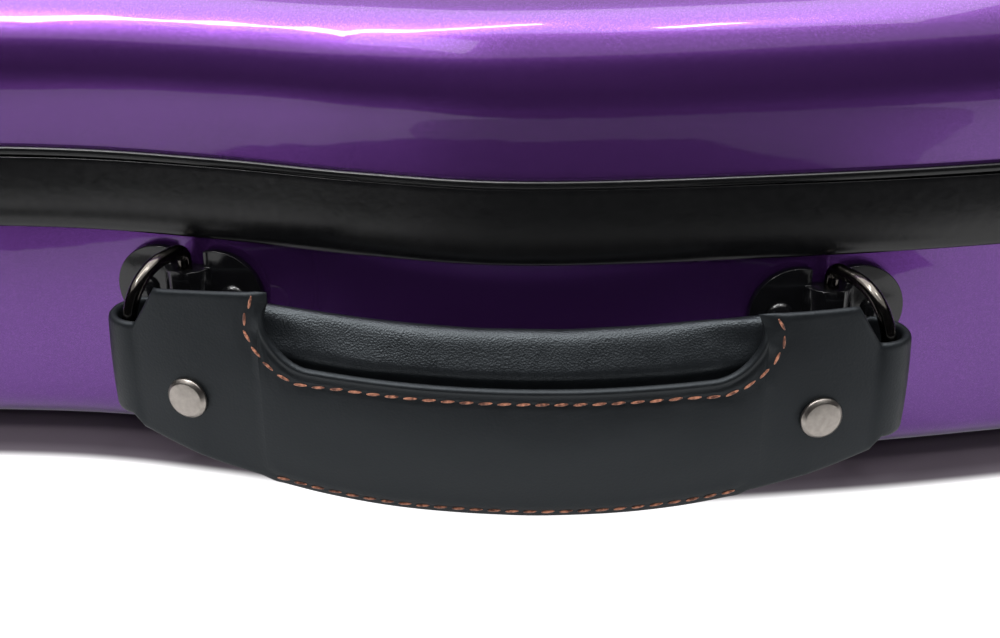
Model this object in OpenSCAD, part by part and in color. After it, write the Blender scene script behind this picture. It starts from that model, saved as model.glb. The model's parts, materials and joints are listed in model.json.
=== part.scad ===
// Contoured hard-shell violin case, lying closed on its feet with the handle side to the front (-Y).
// The lower bout is at +X, the scroll end at -X and the hinges are on the straight back (+Y).
// Both shells are lofts of one plan outline, and what sits on a wall takes its place from that outline.

/* [Case outline] */
// Length of the shells
case_len = 790; // [740:5:960]
// Centre line to the front bulge at the handle
belly_front = 132; // [128:1:160]
// Place of the front bulge along the case
belly_x = 115; // [95:1:135]
// Centre line to the waist left of the handle
waist_front = 104.5; // [98:0.5:112]
// Centre line to the straight hinge side
hinge_side = 122; // [118:1:148]
// Centre line to the front of the scroll end
scroll_front = 66; // [60:1:76]
// Centre line to the back of the scroll end
scroll_back = 82; // [74:1:92]

/* [Shells] */
// Thickness of both shells
wall_t = 3; // [2.4:0.1:4]
// Height of the base rim above the floor
rim_z = 77.2; // [70:0.2:95]
// Rise of the lid from its rim to its crown at the lower end
lid_rise = 54; // [44:1:64]
// Share of the lid's rise lost at the scroll end
lid_taper = 0.22; // [0.1:0.01:0.3]
// Height of the floor feet
foot_h = 2.5; // [2:0.5:6]
// Diameter of a floor foot
foot_d = 18; // [14:1:24]

/* [Rubber seal] */
// Height of the strip on the base rim
strip_h = 18.6; // [15:0.2:22]
// How far the strip stands out from the wall
strip_out = 3.2; // [2.4:0.1:4]
// Gap between the strip and the lid trim
seal_gap = 0.4; // [0.3:0.1:0.8]
// Height of the lid trim
trim_h = 2.2; // [2:0.1:4]
// Clearance of a rubber channel round its wall
channel_clear = 0.2; // [0.1:0.05:0.4]

/* [Handle] */
// Place of the handle's middle along the case
handle_x = 109.5; // [95:0.5:125]
// Half of the distance between the ring axes
bracket_half = 80; // [76:0.5:90]
// Height of the bracket centres
bracket_z = 46.5; // [40:0.5:50]
// Radius of a bracket lobe
lobe_r = 12; // [10:0.5:12.5]
// Distance from the bracket's middle to a screw
screw_at = 12.2; // [10:0.1:13]
// Wire diameter of the rings
ring_wire = 3.6; // [3:0.1:4]
// Height of a ring between its wire centres
ring_h = 42; // [38:0.5:43]
// Reach of a ring from its bar to its bow
ring_reach = 21.5; // [21.5:0.5:24]
// Swing of a ring away from straight out
ring_splay = 30; // [26:1:34]
// Height of the ring centres
ring_z = 38.2; // [37:0.2:38.6]
// Running clearance of a bar or pin in its bore, on the radius
run_clear = 0.05; // [0.02:0.01:0.08]
// Thickness of the handle leather
leather_t = 2.2; // [1.6:0.1:2.6]
// Outward bow of the handle cover at its middle
handle_bow = 15; // [12:0.5:19]
// Height of the cover's upper end corners
cover_top = 60; // [56:0.5:62]
// Lowest height of the window edge in the cover
window_z = 42.5; // [38:0.5:44]
// Half length of the window in the cover
window_half = 59; // [54:1:62]
// Shift of the window from the handle's middle
window_x = 2.5; // [-3:0.5:3]
// Height of the cover's lower edge at its middle
cover_low = 6; // [4:0.5:12]
// Thickness of the padded grip
grip_t = 15; // [12:0.5:18]
// Diameter of a rivet cap
rivet_d = 10.4; // [8:0.2:12]

/* [Hinges and latches] */
// Place of the scroll-side hinge along the case
hinge_left_x = 0; // [-20:1:40]
// Distance between the middles of the two hinges
hinge_span = 190; // [140:5:190]
// Length of a hinge along its pin
hinge_len = 44; // [36:1:56]
// Diameter of a hinge pin
hinge_pin_d = 4; // [3:0.5:5]
// Outer diameter of a hinge knuckle
knuckle_d = 8; // [7:0.5:9]
// Place of the scroll-side latch along the front wall
latch_left_x = -112; // [-130:1:-95]
// Place of the lower latch along the front wall
latch_right_x = 268; // [255:1:285]
// Width of a latch plate
latch_w = 30; // [26:1:36]
// Wire diameter of a latch bail
bail_wire = 2.6; // [2:0.1:3]

/* [Inside] */
// Length of the violin's body recess
body_len = 360; // [352:1:366]
// Half width of the recess at the lower bout
bout_half = 104; // [100:1:106]
// Height of the lining's upper face
lining_z = 72; // [66:1:76]
// Height of the recess floor
recess_z = 22; // [18:1:28]
// Distance from the violin's axis to the case's centre line
violin_y = 7; // [4:1:10]
// Width of the neck channel
neck_w = 54; // [48:1:64]
// Length of a bow spinner
spinner_len = 46; // [40:1:56]

/* [Hidden] */

$fn = 48;
purple = [0.32, 0.15, 0.47];
rubber = [0.09, 0.09, 0.10];
steel = [0.30, 0.29, 0.29];
enamel = [0.07, 0.07, 0.08];
hide = [0.10, 0.10, 0.11];
plush = [0.20, 0.19, 0.23];

end_x = case_len / 2;
end_y = 8;
lower_end_y = 14;
floor_t = foot_h + wall_t;
strip_top = rim_z + 3;
strip_low = strip_top - strip_h;
trim_z = strip_top + seal_gap;
lid_rim = trim_z + 1;

function lerp(a, b, t) = a + (b - a) * t;
function ease(t) = sin(90 * t);
function clamp(v, low, high) = min(max(v, low), high);

// Plan outline: a closed smooth curve through the points of the contour
end_corner = 62;
straight_x0 = end_x - 95;
straight_x1 = -100;
straight_n = ceil((straight_x0 - straight_x1) / 80);
straight_step = (straight_x0 - straight_x1) / straight_n;
waist_x = belly_x - 165;
belly_drop = belly_front - waist_front;
// The centre line lies behind the origin, so that the origin is in the middle of the whole depth
case_y = 14;
centred_plan = concat(
    [[-end_x, end_y], [14 - end_x, 20 - scroll_front]],
    [for (t = [0 : 0.25 : 1])
        [lerp(end_corner - end_x, waist_x, t), -lerp(scroll_front, waist_front, ease(t))]],
    [[belly_x - 115, -belly_front + 0.9 * belly_drop], [belly_x - 75, -belly_front + 0.6 * belly_drop],
        [belly_x - 40, -belly_front + 0.24 * belly_drop], [belly_x, -belly_front]],
    [[belly_x + 60, 5 - belly_front], [belly_x + 120, 14.5 - belly_front]],
    [[end_x - 82, 33 - belly_front], [end_x - 30, 73 - belly_front], [end_x, lower_end_y],
        [end_x - 32, hinge_side - 22]],
    [for (k = [0 : straight_n]) [straight_x0 - k * straight_step, hinge_side]],
    [for (t = [1 / 3 : 1 / 3 : 1])
        [lerp(straight_x1, end_corner - end_x, t), lerp(hinge_side, scroll_back, 1 - cos(90 * t))]],
    [[14 - end_x, scroll_back - 27]]);
contour = [for (p = centred_plan) p + [0, case_y]];
contour_steps = 3;

function spline_at(p, i, t) =
    let (n = len(p), a = p[(i + n - 1) % n], b = p[i % n], c = p[(i + 1) % n], d = p[(i + 2) % n])
    0.5 * (2 * b + (c - a) * t + (2 * a - 5 * b + 4 * c - d) * t ^ 2 + (3 * b - a - 3 * c + d) * t ^ 3);
function spline(p, steps) =
    [for (i = [0 : len(p) - 1]) for (k = [0 : steps - 1]) spline_at(p, i, k / steps)];
function unit(v) = v / norm(v);
function outward(p, i) =
    let (n = len(p), d = unit(p[(i + 1) % n] - p[(i + n - 1) % n])) [d.y, -d.x];
function inset(p, dist) = [for (i = [0 : len(p) - 1]) p[i] - dist * outward(p, i)];

outline = spline(contour, contour_steps);

// A wall station: the outline's point and heading at one x, on the front (side -1) or the back (side 1)
function between(i, x) =
    let (a = outline[i], b = outline[(i + 1) % len(outline)])
    (a.x - x) * (b.x - x) <= 0 && a.x != b.x;
function crossing(x, side) =
    [for (i = [0 : len(outline) - 1]) if (between(i, x) && side * (outline[i].y - case_y) > 0) i][0];
function station(i, x) =
    let (a = outline[i], b = outline[(i + 1) % len(outline)], t = (x - a.x) / (b.x - a.x), d = b - a)
    [lerp(a.x, b.x, t), lerp(a.y, b.y, t), atan2(d.y, d.x)];
function wall_at(x, side) = station(crossing(x, side), x);

// Puts a piece whose outside faces -Y on a wall station, at a height
module on_wall(place, z = 0) {
    translate([place.x, place.y, z]) rotate([0, 0, place[2]]) children();
}
function off_wall(place, out) = [place.x + out * sin(place[2]), place.y - out * cos(place[2])];

// Lofts: rings of points joined by triangles, closed round (profile) or capped at both ends
function ring_faces(n, a, b) =
    [for (i = [0 : n - 1]) let (j = (i + 1) % n)
        each [[a * n + i, b * n + i, b * n + j], [a * n + i, b * n + j, a * n + j]]];
function flat(rings) = [for (r = rings) each r];
module capped_loft(rings, caps = []) {
    n = len(rings[0]);
    m = len(rings);
    first = [for (i = [0 : n - 1]) i];
    last = [for (i = [n - 1 : -1 : 0]) (m - 1) * n + i];
    sides = [for (k = [0 : m - 2]) each ring_faces(n, k, k + 1)];
    ends = len(caps) > 0 ? caps : [first, last];
    polyhedron(flat(rings), concat(ends, sides), convexity = 6);
}
module closed_loft(rings) {
    n = len(rings[0]);
    m = len(rings);
    polyhedron(flat(rings), [for (k = [0 : m - 1]) each ring_faces(n, k, (k + 1) % m)], convexity = 6);
}
function at_height(p, z) = [for (q = p) [q.x, q.y, z]];

// A ring of a crown: the outline drawn in by a distance, then by a share of the way to the spine
spine_in = 110;
function spine_point(q) = [clamp(q.x, spine_in - end_x, end_x - spine_in), case_y + end_y / 2];
function crown(p, dist, share) = [for (q = inset(p, dist)) lerp(q, spine_point(q), share)];

// Base shell: a rounded bottom edge, taller towards the scroll end, and an upright wall
edge_profile = [[10, 0], [6.6, 0.6], [3.6, 2.3], [1.5, 5], [0.4, 8.2], [0, 11.5]];
edge_right = 0.6;
edge_left = 1.4;
function edge_grow(x) = lerp(edge_left, edge_right, (x + end_x) / case_len);
function edge_ring(p, dist, rise, low) = [for (q = inset(p, dist)) [q.x, q.y, low + rise * edge_grow(q.x)]];
module base_shell() {
    outer = [for (e = edge_profile) edge_ring(outline, e[0], e[1], foot_h)];
    inner = [for (k = [len(edge_profile) - 1 : -1 : 0])
        edge_ring(outline, edge_profile[k][0] + wall_t, edge_profile[k][1], floor_t)];
    rim = [at_height(outline, rim_z), at_height(inset(outline, wall_t), rim_z)];
    color(purple) capped_loft(concat(outer, rim, inner));
}

// Lid shell: upright at its rim, then turned over into a crown that falls towards the scroll end
lid_profile = [[0, 0, 0], [0, 0, 0.36], [1.4, 0, 0.5], [5, 0, 0.63], [11, 0, 0.75], [12, 0.1, 0.85],
    [12, 0.25, 0.93], [12, 0.45, 0.975], [12, 0.72, 1]];
function lid_height(x, share, low, rise) =
    low + share * rise * (1 - lid_taper * (end_x - x) / case_len);
function lid_ring(dist, row, low, rise) =
    [for (q = crown(outline, row[0] + dist, row[1])) [q.x, q.y, lid_height(q.x, row[2], low, rise)]];
function lid_skin(dist, drop) = [for (row = lid_profile) lid_ring(dist, row, lid_rim, lid_rise - drop)];
function reversed(list) = [for (k = [len(list) - 1 : -1 : 0]) list[k]];
module lid_shell() {
    color(purple) capped_loft(concat(reversed(lid_skin(wall_t, wall_t)), lid_skin(0, 0)));
}

// Rubber channels: a section of [inset, height] points carried round the outline
module channel(section) {
    closed_loft([for (s = section) at_height(inset(outline, s[0]), s[1])]);
}
inner_leg = 2;
inner_leg_h = 11;
module base_seal_strip() {
    slot_in = wall_t + channel_clear;
    back = slot_in + inner_leg;
    foot = strip_top - inner_leg_h;
    slot_top = rim_z + channel_clear;
    color(rubber) channel([[-channel_clear, strip_low], [0.6 - strip_out, strip_low],
        [-strip_out, strip_low + 1.8], [-strip_out, strip_top - 1.5], [1.4 - strip_out, strip_top],
        [back, strip_top], [back, foot], [slot_in, foot], [slot_in, slot_top], [-channel_clear, slot_top]]);
}
trim_out = 2;
module lid_edge_trim() {
    slot_in = wall_t + channel_clear;
    back = slot_in + inner_leg;
    top = trim_z + trim_h;
    slot_low = lid_rim - channel_clear;
    color(rubber) channel([[-trim_out, trim_z + 0.5], [-trim_out, top], [-channel_clear, top],
        [-channel_clear, slot_low], [slot_in, slot_low], [slot_in, top], [back, top], [back, trim_z],
        [0.6 - trim_out, trim_z]]);
}

// Feet: turned rubber discs under the base, and buttons past the hinges to stand the case on its spine
lower_foot_x = end_x - 95;
scroll_foot_x = 110 - end_x;
foot_places = [[lower_foot_x, -52], [lower_foot_x, 78], [scroll_foot_x, -34], [scroll_foot_x, 52]];
module foot(h, d) {
    rotate_extrude() polygon([[0, 0], [d / 2 - 1.2, 0], [d / 2, 1.2], [d / 2 - 1, h], [0, h]]);
}
module floor_feet() {
    color(rubber) for (p = foot_places) translate([p.x, case_y + p.y, 0]) foot(foot_h, foot_d);
}
spine_foot_d = 16;
spine_foot_xs = [hinge_left_x - 60, end_x - 140];
spine_foot_z = (strip_low + foot_h) / 2 + 6;
module spine_feet() {
    h = hinge_out + knuckle_d / 2 + 1.5;
    color(rubber) for (x = spine_foot_xs) on_wall(wall_at(x, 1), spine_foot_z)
        translate([0, -h - seat_gap, 0]) rotate([-90, 0, 0]) foot(h, spine_foot_d);
}

// Hinges: a leaf on each wall, three knuckles and a pin, its axis outside the strip at the parting height
hinge_out = strip_out + 0.5 + knuckle_d / 2;
hinge_z = strip_top + seal_gap / 2;
hinge_xs = [hinge_left_x, hinge_left_x + hinge_span];
knuckle_gap = 0.4;
mid_knuckle = 0.44 * hinge_len;
leaf_t = 2;
arm_in = strip_out + 0.3;
arm_out = arm_in + leaf_t;
seat_gap = 0.1;
module along_x(len) {
    translate([-len / 2, 0, 0]) rotate([90, 0, 90]) linear_extrude(len) children();
}
module on_pin(d, len) {
    translate([0, hinge_out, hinge_z]) rotate([0, 90, 0]) cylinder(d = d, h = len, center = true);
}
module pin_bore() {
    on_pin(hinge_pin_d + 2 * run_clear, hinge_len + 2);
}
module base_leaf() {
    low = strip_low - 18;
    high = hinge_z - knuckle_d / 2 - 0.8;
    end_knuckle = (hinge_len - mid_knuckle) / 2 - knuckle_gap;
    difference() {
        union() {
            along_x(hinge_len) polygon([[seat_gap, low], [1.4, low], [leaf_t, low + 1],
                [leaf_t, strip_low - 7], [arm_out, strip_low - 4], [arm_out, high], [arm_in, high],
                [arm_in, strip_low - 0.6], [seat_gap, strip_low - 0.6]]);
            for (s = [-1, 1]) translate([s * (hinge_len - end_knuckle) / 2, 0, 0]) {
                along_x(end_knuckle) polygon([[arm_in, high - 1], [arm_out, high - 1],
                    [arm_out + 1, hinge_z], [arm_in + 0.6, hinge_z]]);
                on_pin(knuckle_d, end_knuckle);
            }
        }
        pin_bore();
    }
}
module lid_leaf() {
    low = trim_z + trim_h + 0.5;
    high = lid_rim + 0.29 * lid_rise;
    difference() {
        union() {
            along_x(hinge_len) polygon([[seat_gap, low], [arm_in, low], [leaf_t, low + 3.5],
                [leaf_t, high - 1], [1.4, high], [seat_gap, high]]);
            along_x(mid_knuckle) polygon([[1, low], [arm_in, low], [arm_in + 0.6, hinge_z],
                [arm_out + 1, hinge_z], [arm_out, low + 1], [leaf_t, low + 4]]);
            on_pin(knuckle_d, mid_knuckle);
        }
        pin_bore();
    }
}
module at_hinges() {
    for (x = hinge_xs) translate([x, case_y + hinge_side, 0]) children();
}
module base_hinge_leaves() {
    color(steel) at_hinges() base_leaf();
}
module lid_hinge_leaves() {
    color(steel) at_hinges() lid_leaf();
}
module hinge_pins() {
    color(steel) at_hinges() on_pin(hinge_pin_d, hinge_len + 1);
}
// A domed head standing on the plane y = 0, its crown towards -Y
module dome_head(d, h) {
    rotate([90, 0, 0]) rotate_extrude() polygon([[0, 0], [d / 2, 0], [d / 2, 0.35 * h],
        [0.42 * d, 0.68 * h], [0.26 * d, 0.92 * h], [0.1 * d, h], [0, h]]);
}
module leaf_heads(z) {
    for (s = [-1, 1]) translate([s * 0.3 * hinge_len, leaf_t, z]) rotate([0, 0, 180]) dome_head(6, 1.8);
}
module base_hinge_rivets() {
    color(steel) at_hinges() leaf_heads(strip_low - 12);
}
module lid_hinge_rivets() {
    color(steel) at_hinges() leaf_heads(trim_z + trim_h + 9);
}

// Draw latches: a cheeked plate, a bent lever on a pin, and a wire bail standing before the keeper's hook
latch_xs = [latch_left_x, latch_right_x];
plate_gap = 0.3;
latch_plate_t = 1.6;
lever_pin_d = 3;
lever_pin_out = 6.2;
lever_pin_z = strip_low - 11.6;
bail_out = lever_pin_out + 2.4;
bail_z = lever_pin_z - 7;
cheek_in = 8;
cheek_t = 2;
lever_half = 12.5;
lever_side = 2;
bail_half = lever_half + bail_wire / 2 + 0.8;
hook_out = 6.2;
keeper_low = trim_z + trim_h + 0.9;
bail_top_z = keeper_low + 5;
bail_top_out = hook_out + 0.4 + bail_wire / 2;
bail_len = norm([bail_top_z - bail_z, bail_out - bail_top_out]);
bail_lean = atan2(bail_out - bail_top_out, bail_top_z - bail_z);
module cross_pin(d, len, out, z) {
    translate([0, -out, z]) rotate([0, 90, 0]) cylinder(d = d, h = len, center = true);
}
// Extrudes a section of [out, height] points along the wall
module wall_section(len, points) {
    along_x(len) polygon([for (p = points) [-p[0], p[1]]]);
}
function round_rect(w, h, r, n = 6) =
    [for (c = [[1, 1, 0], [-1, 1, 90], [-1, -1, 180], [1, -1, 270]]) for (k = [0 : n])
        let (a = c[2] + 90 * k / n) [c[0] * (w / 2 - r) + r * cos(a), c[1] * (h / 2 - r) + r * sin(a)]];
module latch_plate() {
    low = bail_z - 20;
    high = strip_low - 0.8;
    face = plate_gap + latch_plate_t;
    difference() {
        union() {
            translate([0, -plate_gap, (low + high) / 2]) rotate([90, 0, 0])
                linear_extrude(latch_plate_t) polygon(round_rect(latch_w, high - low, 4));
            for (s = [-1, 1]) translate([s * (cheek_in + cheek_t / 2), 0, 0]) {
                wall_section(cheek_t, [[face - 0.5, lever_pin_z - 5], [lever_pin_out, lever_pin_z - 3.2],
                    [lever_pin_out, lever_pin_z + 3.2], [face - 0.5, lever_pin_z + 5]]);
                cross_pin(6.6, cheek_t, lever_pin_out, lever_pin_z);
            }
        }
        cross_pin(lever_pin_d + 2 * run_clear, latch_w, lever_pin_out, lever_pin_z);
    }
}
module latch_lever() {
    top = bail_z + 2.6;
    tip = bail_z - 20.5;
    back = bail_out + bail_wire / 2 + 0.4;
    face = back + 1.7;
    difference() {
        union() {
            wall_section(2 * lever_half, [[back, top], [face - 0.6, top - 0.4], [face, bail_z],
                [face - 0.2, bail_z - 3], [6.8, tip + 3], [8.2, tip + 0.6], [7.2, tip], [4.6, tip + 2.6],
                [back, bail_z - 3]]);
            for (s = [-1, 1]) translate([s * (lever_half - lever_side / 2), 0, 0]) {
                wall_section(lever_side, [[lever_pin_out - 3, lever_pin_z - 1],
                    [lever_pin_out + 3, lever_pin_z + 1], [face - 0.8, bail_z + 2], [face - 0.8, bail_z - 3],
                    [bail_out - 1, bail_z - 3]]);
                cross_pin(7, lever_side, lever_pin_out, lever_pin_z);
            }
        }
        cross_pin(lever_pin_d + 2 * run_clear, latch_w, lever_pin_out, lever_pin_z);
        cross_pin(bail_wire + 2 * run_clear, latch_w, bail_out, bail_z);
    }
}
// A bend of round wire: a quarter turn in the XZ plane, from the +X side to the +Z side
module wire_bend(r, d) {
    rotate([90, 0, 0]) rotate_extrude(angle = 90) translate([r, 0]) circle(d = d);
}
module latch_bail() {
    foot = 2.4;
    corner = 4;
    pin_in = cheek_in + cheek_t;
    translate([0, -bail_out, bail_z]) rotate([-bail_lean, 0, 0]) for (s = [0, 1]) mirror([s, 0, 0]) {
        translate([pin_in, 0, 0]) rotate([0, 90, 0]) cylinder(d = bail_wire, h = bail_half - foot - pin_in);
        translate([bail_half - foot, 0, foot]) rotate([0, 90, 0]) wire_bend(foot, bail_wire);
        translate([bail_half, 0, foot]) cylinder(d = bail_wire, h = bail_len - foot - corner);
        translate([bail_half - corner, 0, bail_len - corner]) wire_bend(corner, bail_wire);
        translate([0, 0, bail_len]) rotate([0, 90, 0]) cylinder(d = bail_wire, h = bail_half - corner);
    }
}
keeper_w = 22;
keeper_h = 12;
module latch_keeper() {
    face = plate_gap + latch_plate_t;
    translate([0, -plate_gap, keeper_low + keeper_h / 2]) rotate([90, 0, 0])
        linear_extrude(latch_plate_t) polygon(round_rect(keeper_w, keeper_h, 3));
    wall_section(0.6 * keeper_w, [[face - 0.5, keeper_low + 0.6], [hook_out - 1, keeper_low + 1.6],
        [hook_out, keeper_low + 3], [hook_out, keeper_low + 6.4], [hook_out - 1, keeper_low + 6.8],
        [hook_out - 1.2, keeper_low + 4.4], [face - 0.5, keeper_low + 4]]);
}
module at_latches() {
    for (x = latch_xs) on_wall(wall_at(x, -1)) children();
}
module latch_plates() {
    color(steel) at_latches() latch_plate();
}
module latch_plate_rivets() {
    face = plate_gap + latch_plate_t;
    color(steel) at_latches() for (s = [-1, 1])
        translate([s * (latch_w / 2 - 4), -face, strip_low - 4.6]) dome_head(4.6, 1.4);
}
module latch_lever_pins() {
    color(steel) at_latches() cross_pin(lever_pin_d, 2 * lever_half + 0.6, lever_pin_out, lever_pin_z);
}
module latch_keepers() {
    color(steel) at_latches() latch_keeper();
}
module keeper_rivets() {
    face = plate_gap + latch_plate_t;
    inset_by = 3.2;
    high = keeper_low + keeper_h - inset_by;
    color(steel) at_latches() for (s = [-1, 1])
        translate([s * (keeper_w / 2 - inset_by), -face, high]) dome_head(4, 1.3);
}
module latch_lever_left() {
    color(steel) on_wall(wall_at(latch_xs[0], -1)) latch_lever();
}
module latch_lever_right() {
    color(steel) on_wall(wall_at(latch_xs[1], -1)) latch_lever();
}
module latch_bail_left() {
    color(steel) on_wall(wall_at(latch_xs[0], -1)) latch_bail();
}
module latch_bail_right() {
    color(steel) on_wall(wall_at(latch_xs[1], -1)) latch_bail();
}

// Ring brackets: a bow-tie plate with a raised bridge, notched so that the ring turns clear of the plate
bracket_gap = 0.7;
bracket_t = 2;
bridge_len = 15;
bridge_h = 6.8;
notch_w = 9;
bar_out = 3.3;
lobe_at = 7.8;
module bracket() {
    translate([0, -bracket_gap, 0]) difference() {
        union() {
            rotate([90, 0, 0]) linear_extrude(bracket_t) difference() {
                union() {
                    for (s = [-1, 1]) translate([s * lobe_at, 0]) circle(r = lobe_r);
                }
                for (s = [0, 1]) mirror([0, s]) translate([-notch_w / 2, bridge_len / 2])
                    square([notch_w, lobe_r]);
            }
            linear_extrude(bridge_len, center = true) polygon([[-6.5, -0.5], [6.5, -0.5], [6.3, -2.4],
                [4.3, -5.4], [2.4, -bridge_h], [-2.4, -bridge_h], [-4.3, -5.4], [-6.3, -2.4]]);
        }
        translate([0, -bar_out, 0]) cylinder(d = ring_wire + 2 * run_clear, h = 3 * lobe_r, center = true);
    }
}
module bracket_heads() {
    for (s = [-1, 1]) translate([s * screw_at, -bracket_gap - bracket_t, 0]) dome_head(7, 2.4);
}
// A D-ring: its bar on the Z axis, its bow reaching along -Y
ring_tight = 3;
ring_round = 14;
module d_ring() {
    half = ring_h / 2;
    rotate([0, 0, -90]) {
        cylinder(d = ring_wire, h = ring_h - 2 * ring_tight, center = true);
        translate([ring_reach, 0, 0]) cylinder(d = ring_wire, h = ring_h - 2 * ring_round, center = true);
        for (s = [0, 1]) mirror([0, 0, s]) {
            translate([ring_tight, 0, half - ring_tight]) mirror([1, 0, 0])
                wire_bend(ring_tight, ring_wire);
            translate([ring_tight, 0, half]) rotate([0, 90, 0])
                cylinder(d = ring_wire, h = ring_reach - ring_round - ring_tight);
            translate([ring_reach - ring_round, 0, half - ring_round]) wire_bend(ring_round, ring_wire);
        }
    }
}
ring_axis = bracket_gap + bar_out;
// A flat plate's station: the wall's own, moved out where the wall would rise through the plate's edges
plate_clear = 0.3;
function wall_rise(w, side, half) =
    max([for (s = [-1, 1]) let (p = wall_at(w.x + s * half * cos(w[2]), side))
        (p.x - w.x) * sin(w[2]) - (p.y - w.y) * cos(w[2])]);
function plate_at(x, side, half) =
    let (w = wall_at(x, side), rise = wall_rise(w, side, half),
        p = off_wall(w, max(0, rise + plate_clear - bracket_gap)))
    [p.x, p.y, w[2]];
left_wall = plate_at(handle_x - bracket_half, -1, lobe_at + lobe_r);
right_wall = plate_at(handle_x + bracket_half, -1, lobe_at + lobe_r);
left_bar = off_wall(left_wall, ring_axis);
right_bar = off_wall(right_wall, ring_axis);
module handle_bracket_left() {
    color(enamel) on_wall(left_wall, bracket_z) bracket();
}
module handle_bracket_right() {
    color(enamel) on_wall(right_wall, bracket_z) bracket();
}
module bracket_screws() {
    color(enamel) for (w = [left_wall, right_wall]) on_wall(w, bracket_z) bracket_heads();
}
module handle_ring_left() {
    color(steel) translate([left_bar.x, left_bar.y, ring_z]) rotate([0, 0, -ring_splay]) d_ring();
}
module handle_ring_right() {
    color(steel) translate([right_bar.x, right_bar.y, ring_z]) rotate([0, 0, ring_splay]) d_ring();
}

// Strap points on the back wall: the same bracket turned so that its ring hangs down
strap_xs = [230 - end_x, end_x - 93];
strap_z = strip_low - lobe_at - lobe_r - 1;
module at_strap(k) {
    on_wall(plate_at(strap_xs[k], 1, lobe_r), strap_z) children();
}
module strap_bracket(k) {
    color(enamel) at_strap(k) rotate([0, 90, 0]) bracket();
}
module strap_bracket_scroll() { strap_bracket(0); }
module strap_bracket_lower() { strap_bracket(1); }
module strap_bracket_screws() {
    color(enamel) for (k = [0, 1]) at_strap(k) rotate([0, 90, 0]) bracket_heads();
}
module strap_ring(k) {
    color(steel) at_strap(k) translate([0, -ring_axis, 0]) rotate([90, 0, 0]) rotate([0, 90, 0]) d_ring();
}
module strap_ring_scroll() { strap_ring(0); }
module strap_ring_lower() { strap_ring(1); }

// Handle: built along X between the ring bows, with -Y outwards, then turned into the line of the two bows
left_bow = left_bar + ring_reach * [-sin(ring_splay), -cos(ring_splay)];
right_bow = right_bar + ring_reach * [sin(ring_splay), -cos(ring_splay)];
handle_mid = (left_bow + right_bow) / 2;
handle_turn = atan2(right_bow.y - left_bow.y, right_bow.x - left_bow.x);
bow_half = norm(right_bow - left_bow) / 2;
loop_r = 7.4;
loop_in = 3.3;
loop_back = 2.2;
loop_x = bow_half - loop_in;
loop_z = 37.4;
loop_half_h = 12.6;
front_out = loop_r - loop_back;
rivet_x = loop_x - 13;
rivet_z = 33;
tail_x = rivet_x - 8;
function cover_out(x) = front_out + handle_bow * (1 - (x / loop_x) ^ 2);
function cover_slope(x) = -2 * handle_bow * x / loop_x ^ 2;
// Upper edge: a shallow curve along the window, with round corners up to the ends
window_corner = 12;
window_lift = 2.8;
function window_rise(x) =
    let (t = clamp((abs(x - window_x) - window_half + window_corner) / window_corner, 0, 1))
    1 - sqrt(1 - t ^ 2);
function window_edge(x) = window_z + window_lift * min(1, abs(x - window_x) / window_half) ^ 2;
function cover_high(x) =
    lerp(window_edge(x), cover_top, window_rise(x)) - end_cut(x) * (cover_top - loop_z - loop_half_h);
// The upper corners beside the window hook over towards its middle
hook = 2.6;
hook_h = 9;
hook_len = 14;
function hook_at(x, z) =
    let (u = x - window_x, away = clamp((abs(u) - window_half) / hook_len, 0, 1))
    -sign(u) * hook * (1 - away) ^ 2 * clamp((z - cover_top + hook_h) / hook_h, 0, 1) ^ 2;
// Above, the ends are cut back to the width of the loops over a short slope
cut_len = 6;
cut_from = loop_x - cut_len;
function end_cut(x) = clamp((abs(x) - cut_from) / cut_len, 0, 1);
cover_sweep = 15.5;
function cover_bottom(x) = cover_low + cover_sweep * (x / loop_x) ^ 2;
tuck = 4.5;
// Drape of the cover over the grip: drawn in below and at the window's edge, flat at the ends
function drape(x, v) =
    let (c = max(0, 1 - (x / (rivet_x - 2)) ^ 2)) -c * (tuck * (1 - v) ^ 2.4 + 0.4 * v ^ 2);

// A row of the cover across its height: its outer face upwards, then its inner face downwards
strap_crown = 1.6;
function cover_point(x, out, n, low, high, full, v, side) =
    let (d = side * leather_t / 2 + strap_crown * v * (1 - v), z = lerp(low, high, v))
    [x + n.x * d + full * hook_at(x, z), -(out + full * drape(x, v) + n.y * d), z];
function cover_row(x, out, n, low, high, full) =
    concat([for (v = [0 : 0.25 : 1]) cover_point(x, out, n, low, high, full, v, 1)],
        [for (v = [1 : -0.25 : 0]) cover_point(x, out, n, low, high, full, v, -1)]);
front_steps = 40;
loop_steps = 9;
tail_steps = 4;
tail_out = cover_out(tail_x) - 2 * leather_t;
function front_row(x) =
    let (a = atan(cover_slope(x)))
    cover_row(x, cover_out(x), [-sin(a), cos(a)], cover_bottom(x), cover_high(x), 1);
function loop_row(side, a) =
    cover_row(side * (loop_x + loop_r * sin(a)), loop_r * cos(a) - loop_back, [side * sin(a), cos(a)],
        loop_z - loop_half_h, loop_z + loop_half_h, 0);
tail_tilt = atan2(tail_out + loop_r + loop_back, loop_x - tail_x);
function tail_row(side, t) =
    cover_row(side * lerp(loop_x, tail_x, t), lerp(-loop_r - loop_back, tail_out, t),
        [-side * sin(tail_tilt) * t, -lerp(1, cos(tail_tilt), t)],
        loop_z - loop_half_h, loop_z + loop_half_h, 0);
cover_rows = concat(
    [for (k = [tail_steps : -1 : 1]) tail_row(-1, k / tail_steps)],
    [for (k = [loop_steps : -1 : 1]) loop_row(-1, 180 * k / loop_steps)],
    [for (k = [0 : front_steps]) front_row(loop_x * (2 * k / front_steps - 1))],
    [for (k = [1 : loop_steps]) loop_row(1, 180 * k / loop_steps)],
    [for (k = [1 : tail_steps]) tail_row(1, k / tail_steps)]);
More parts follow.
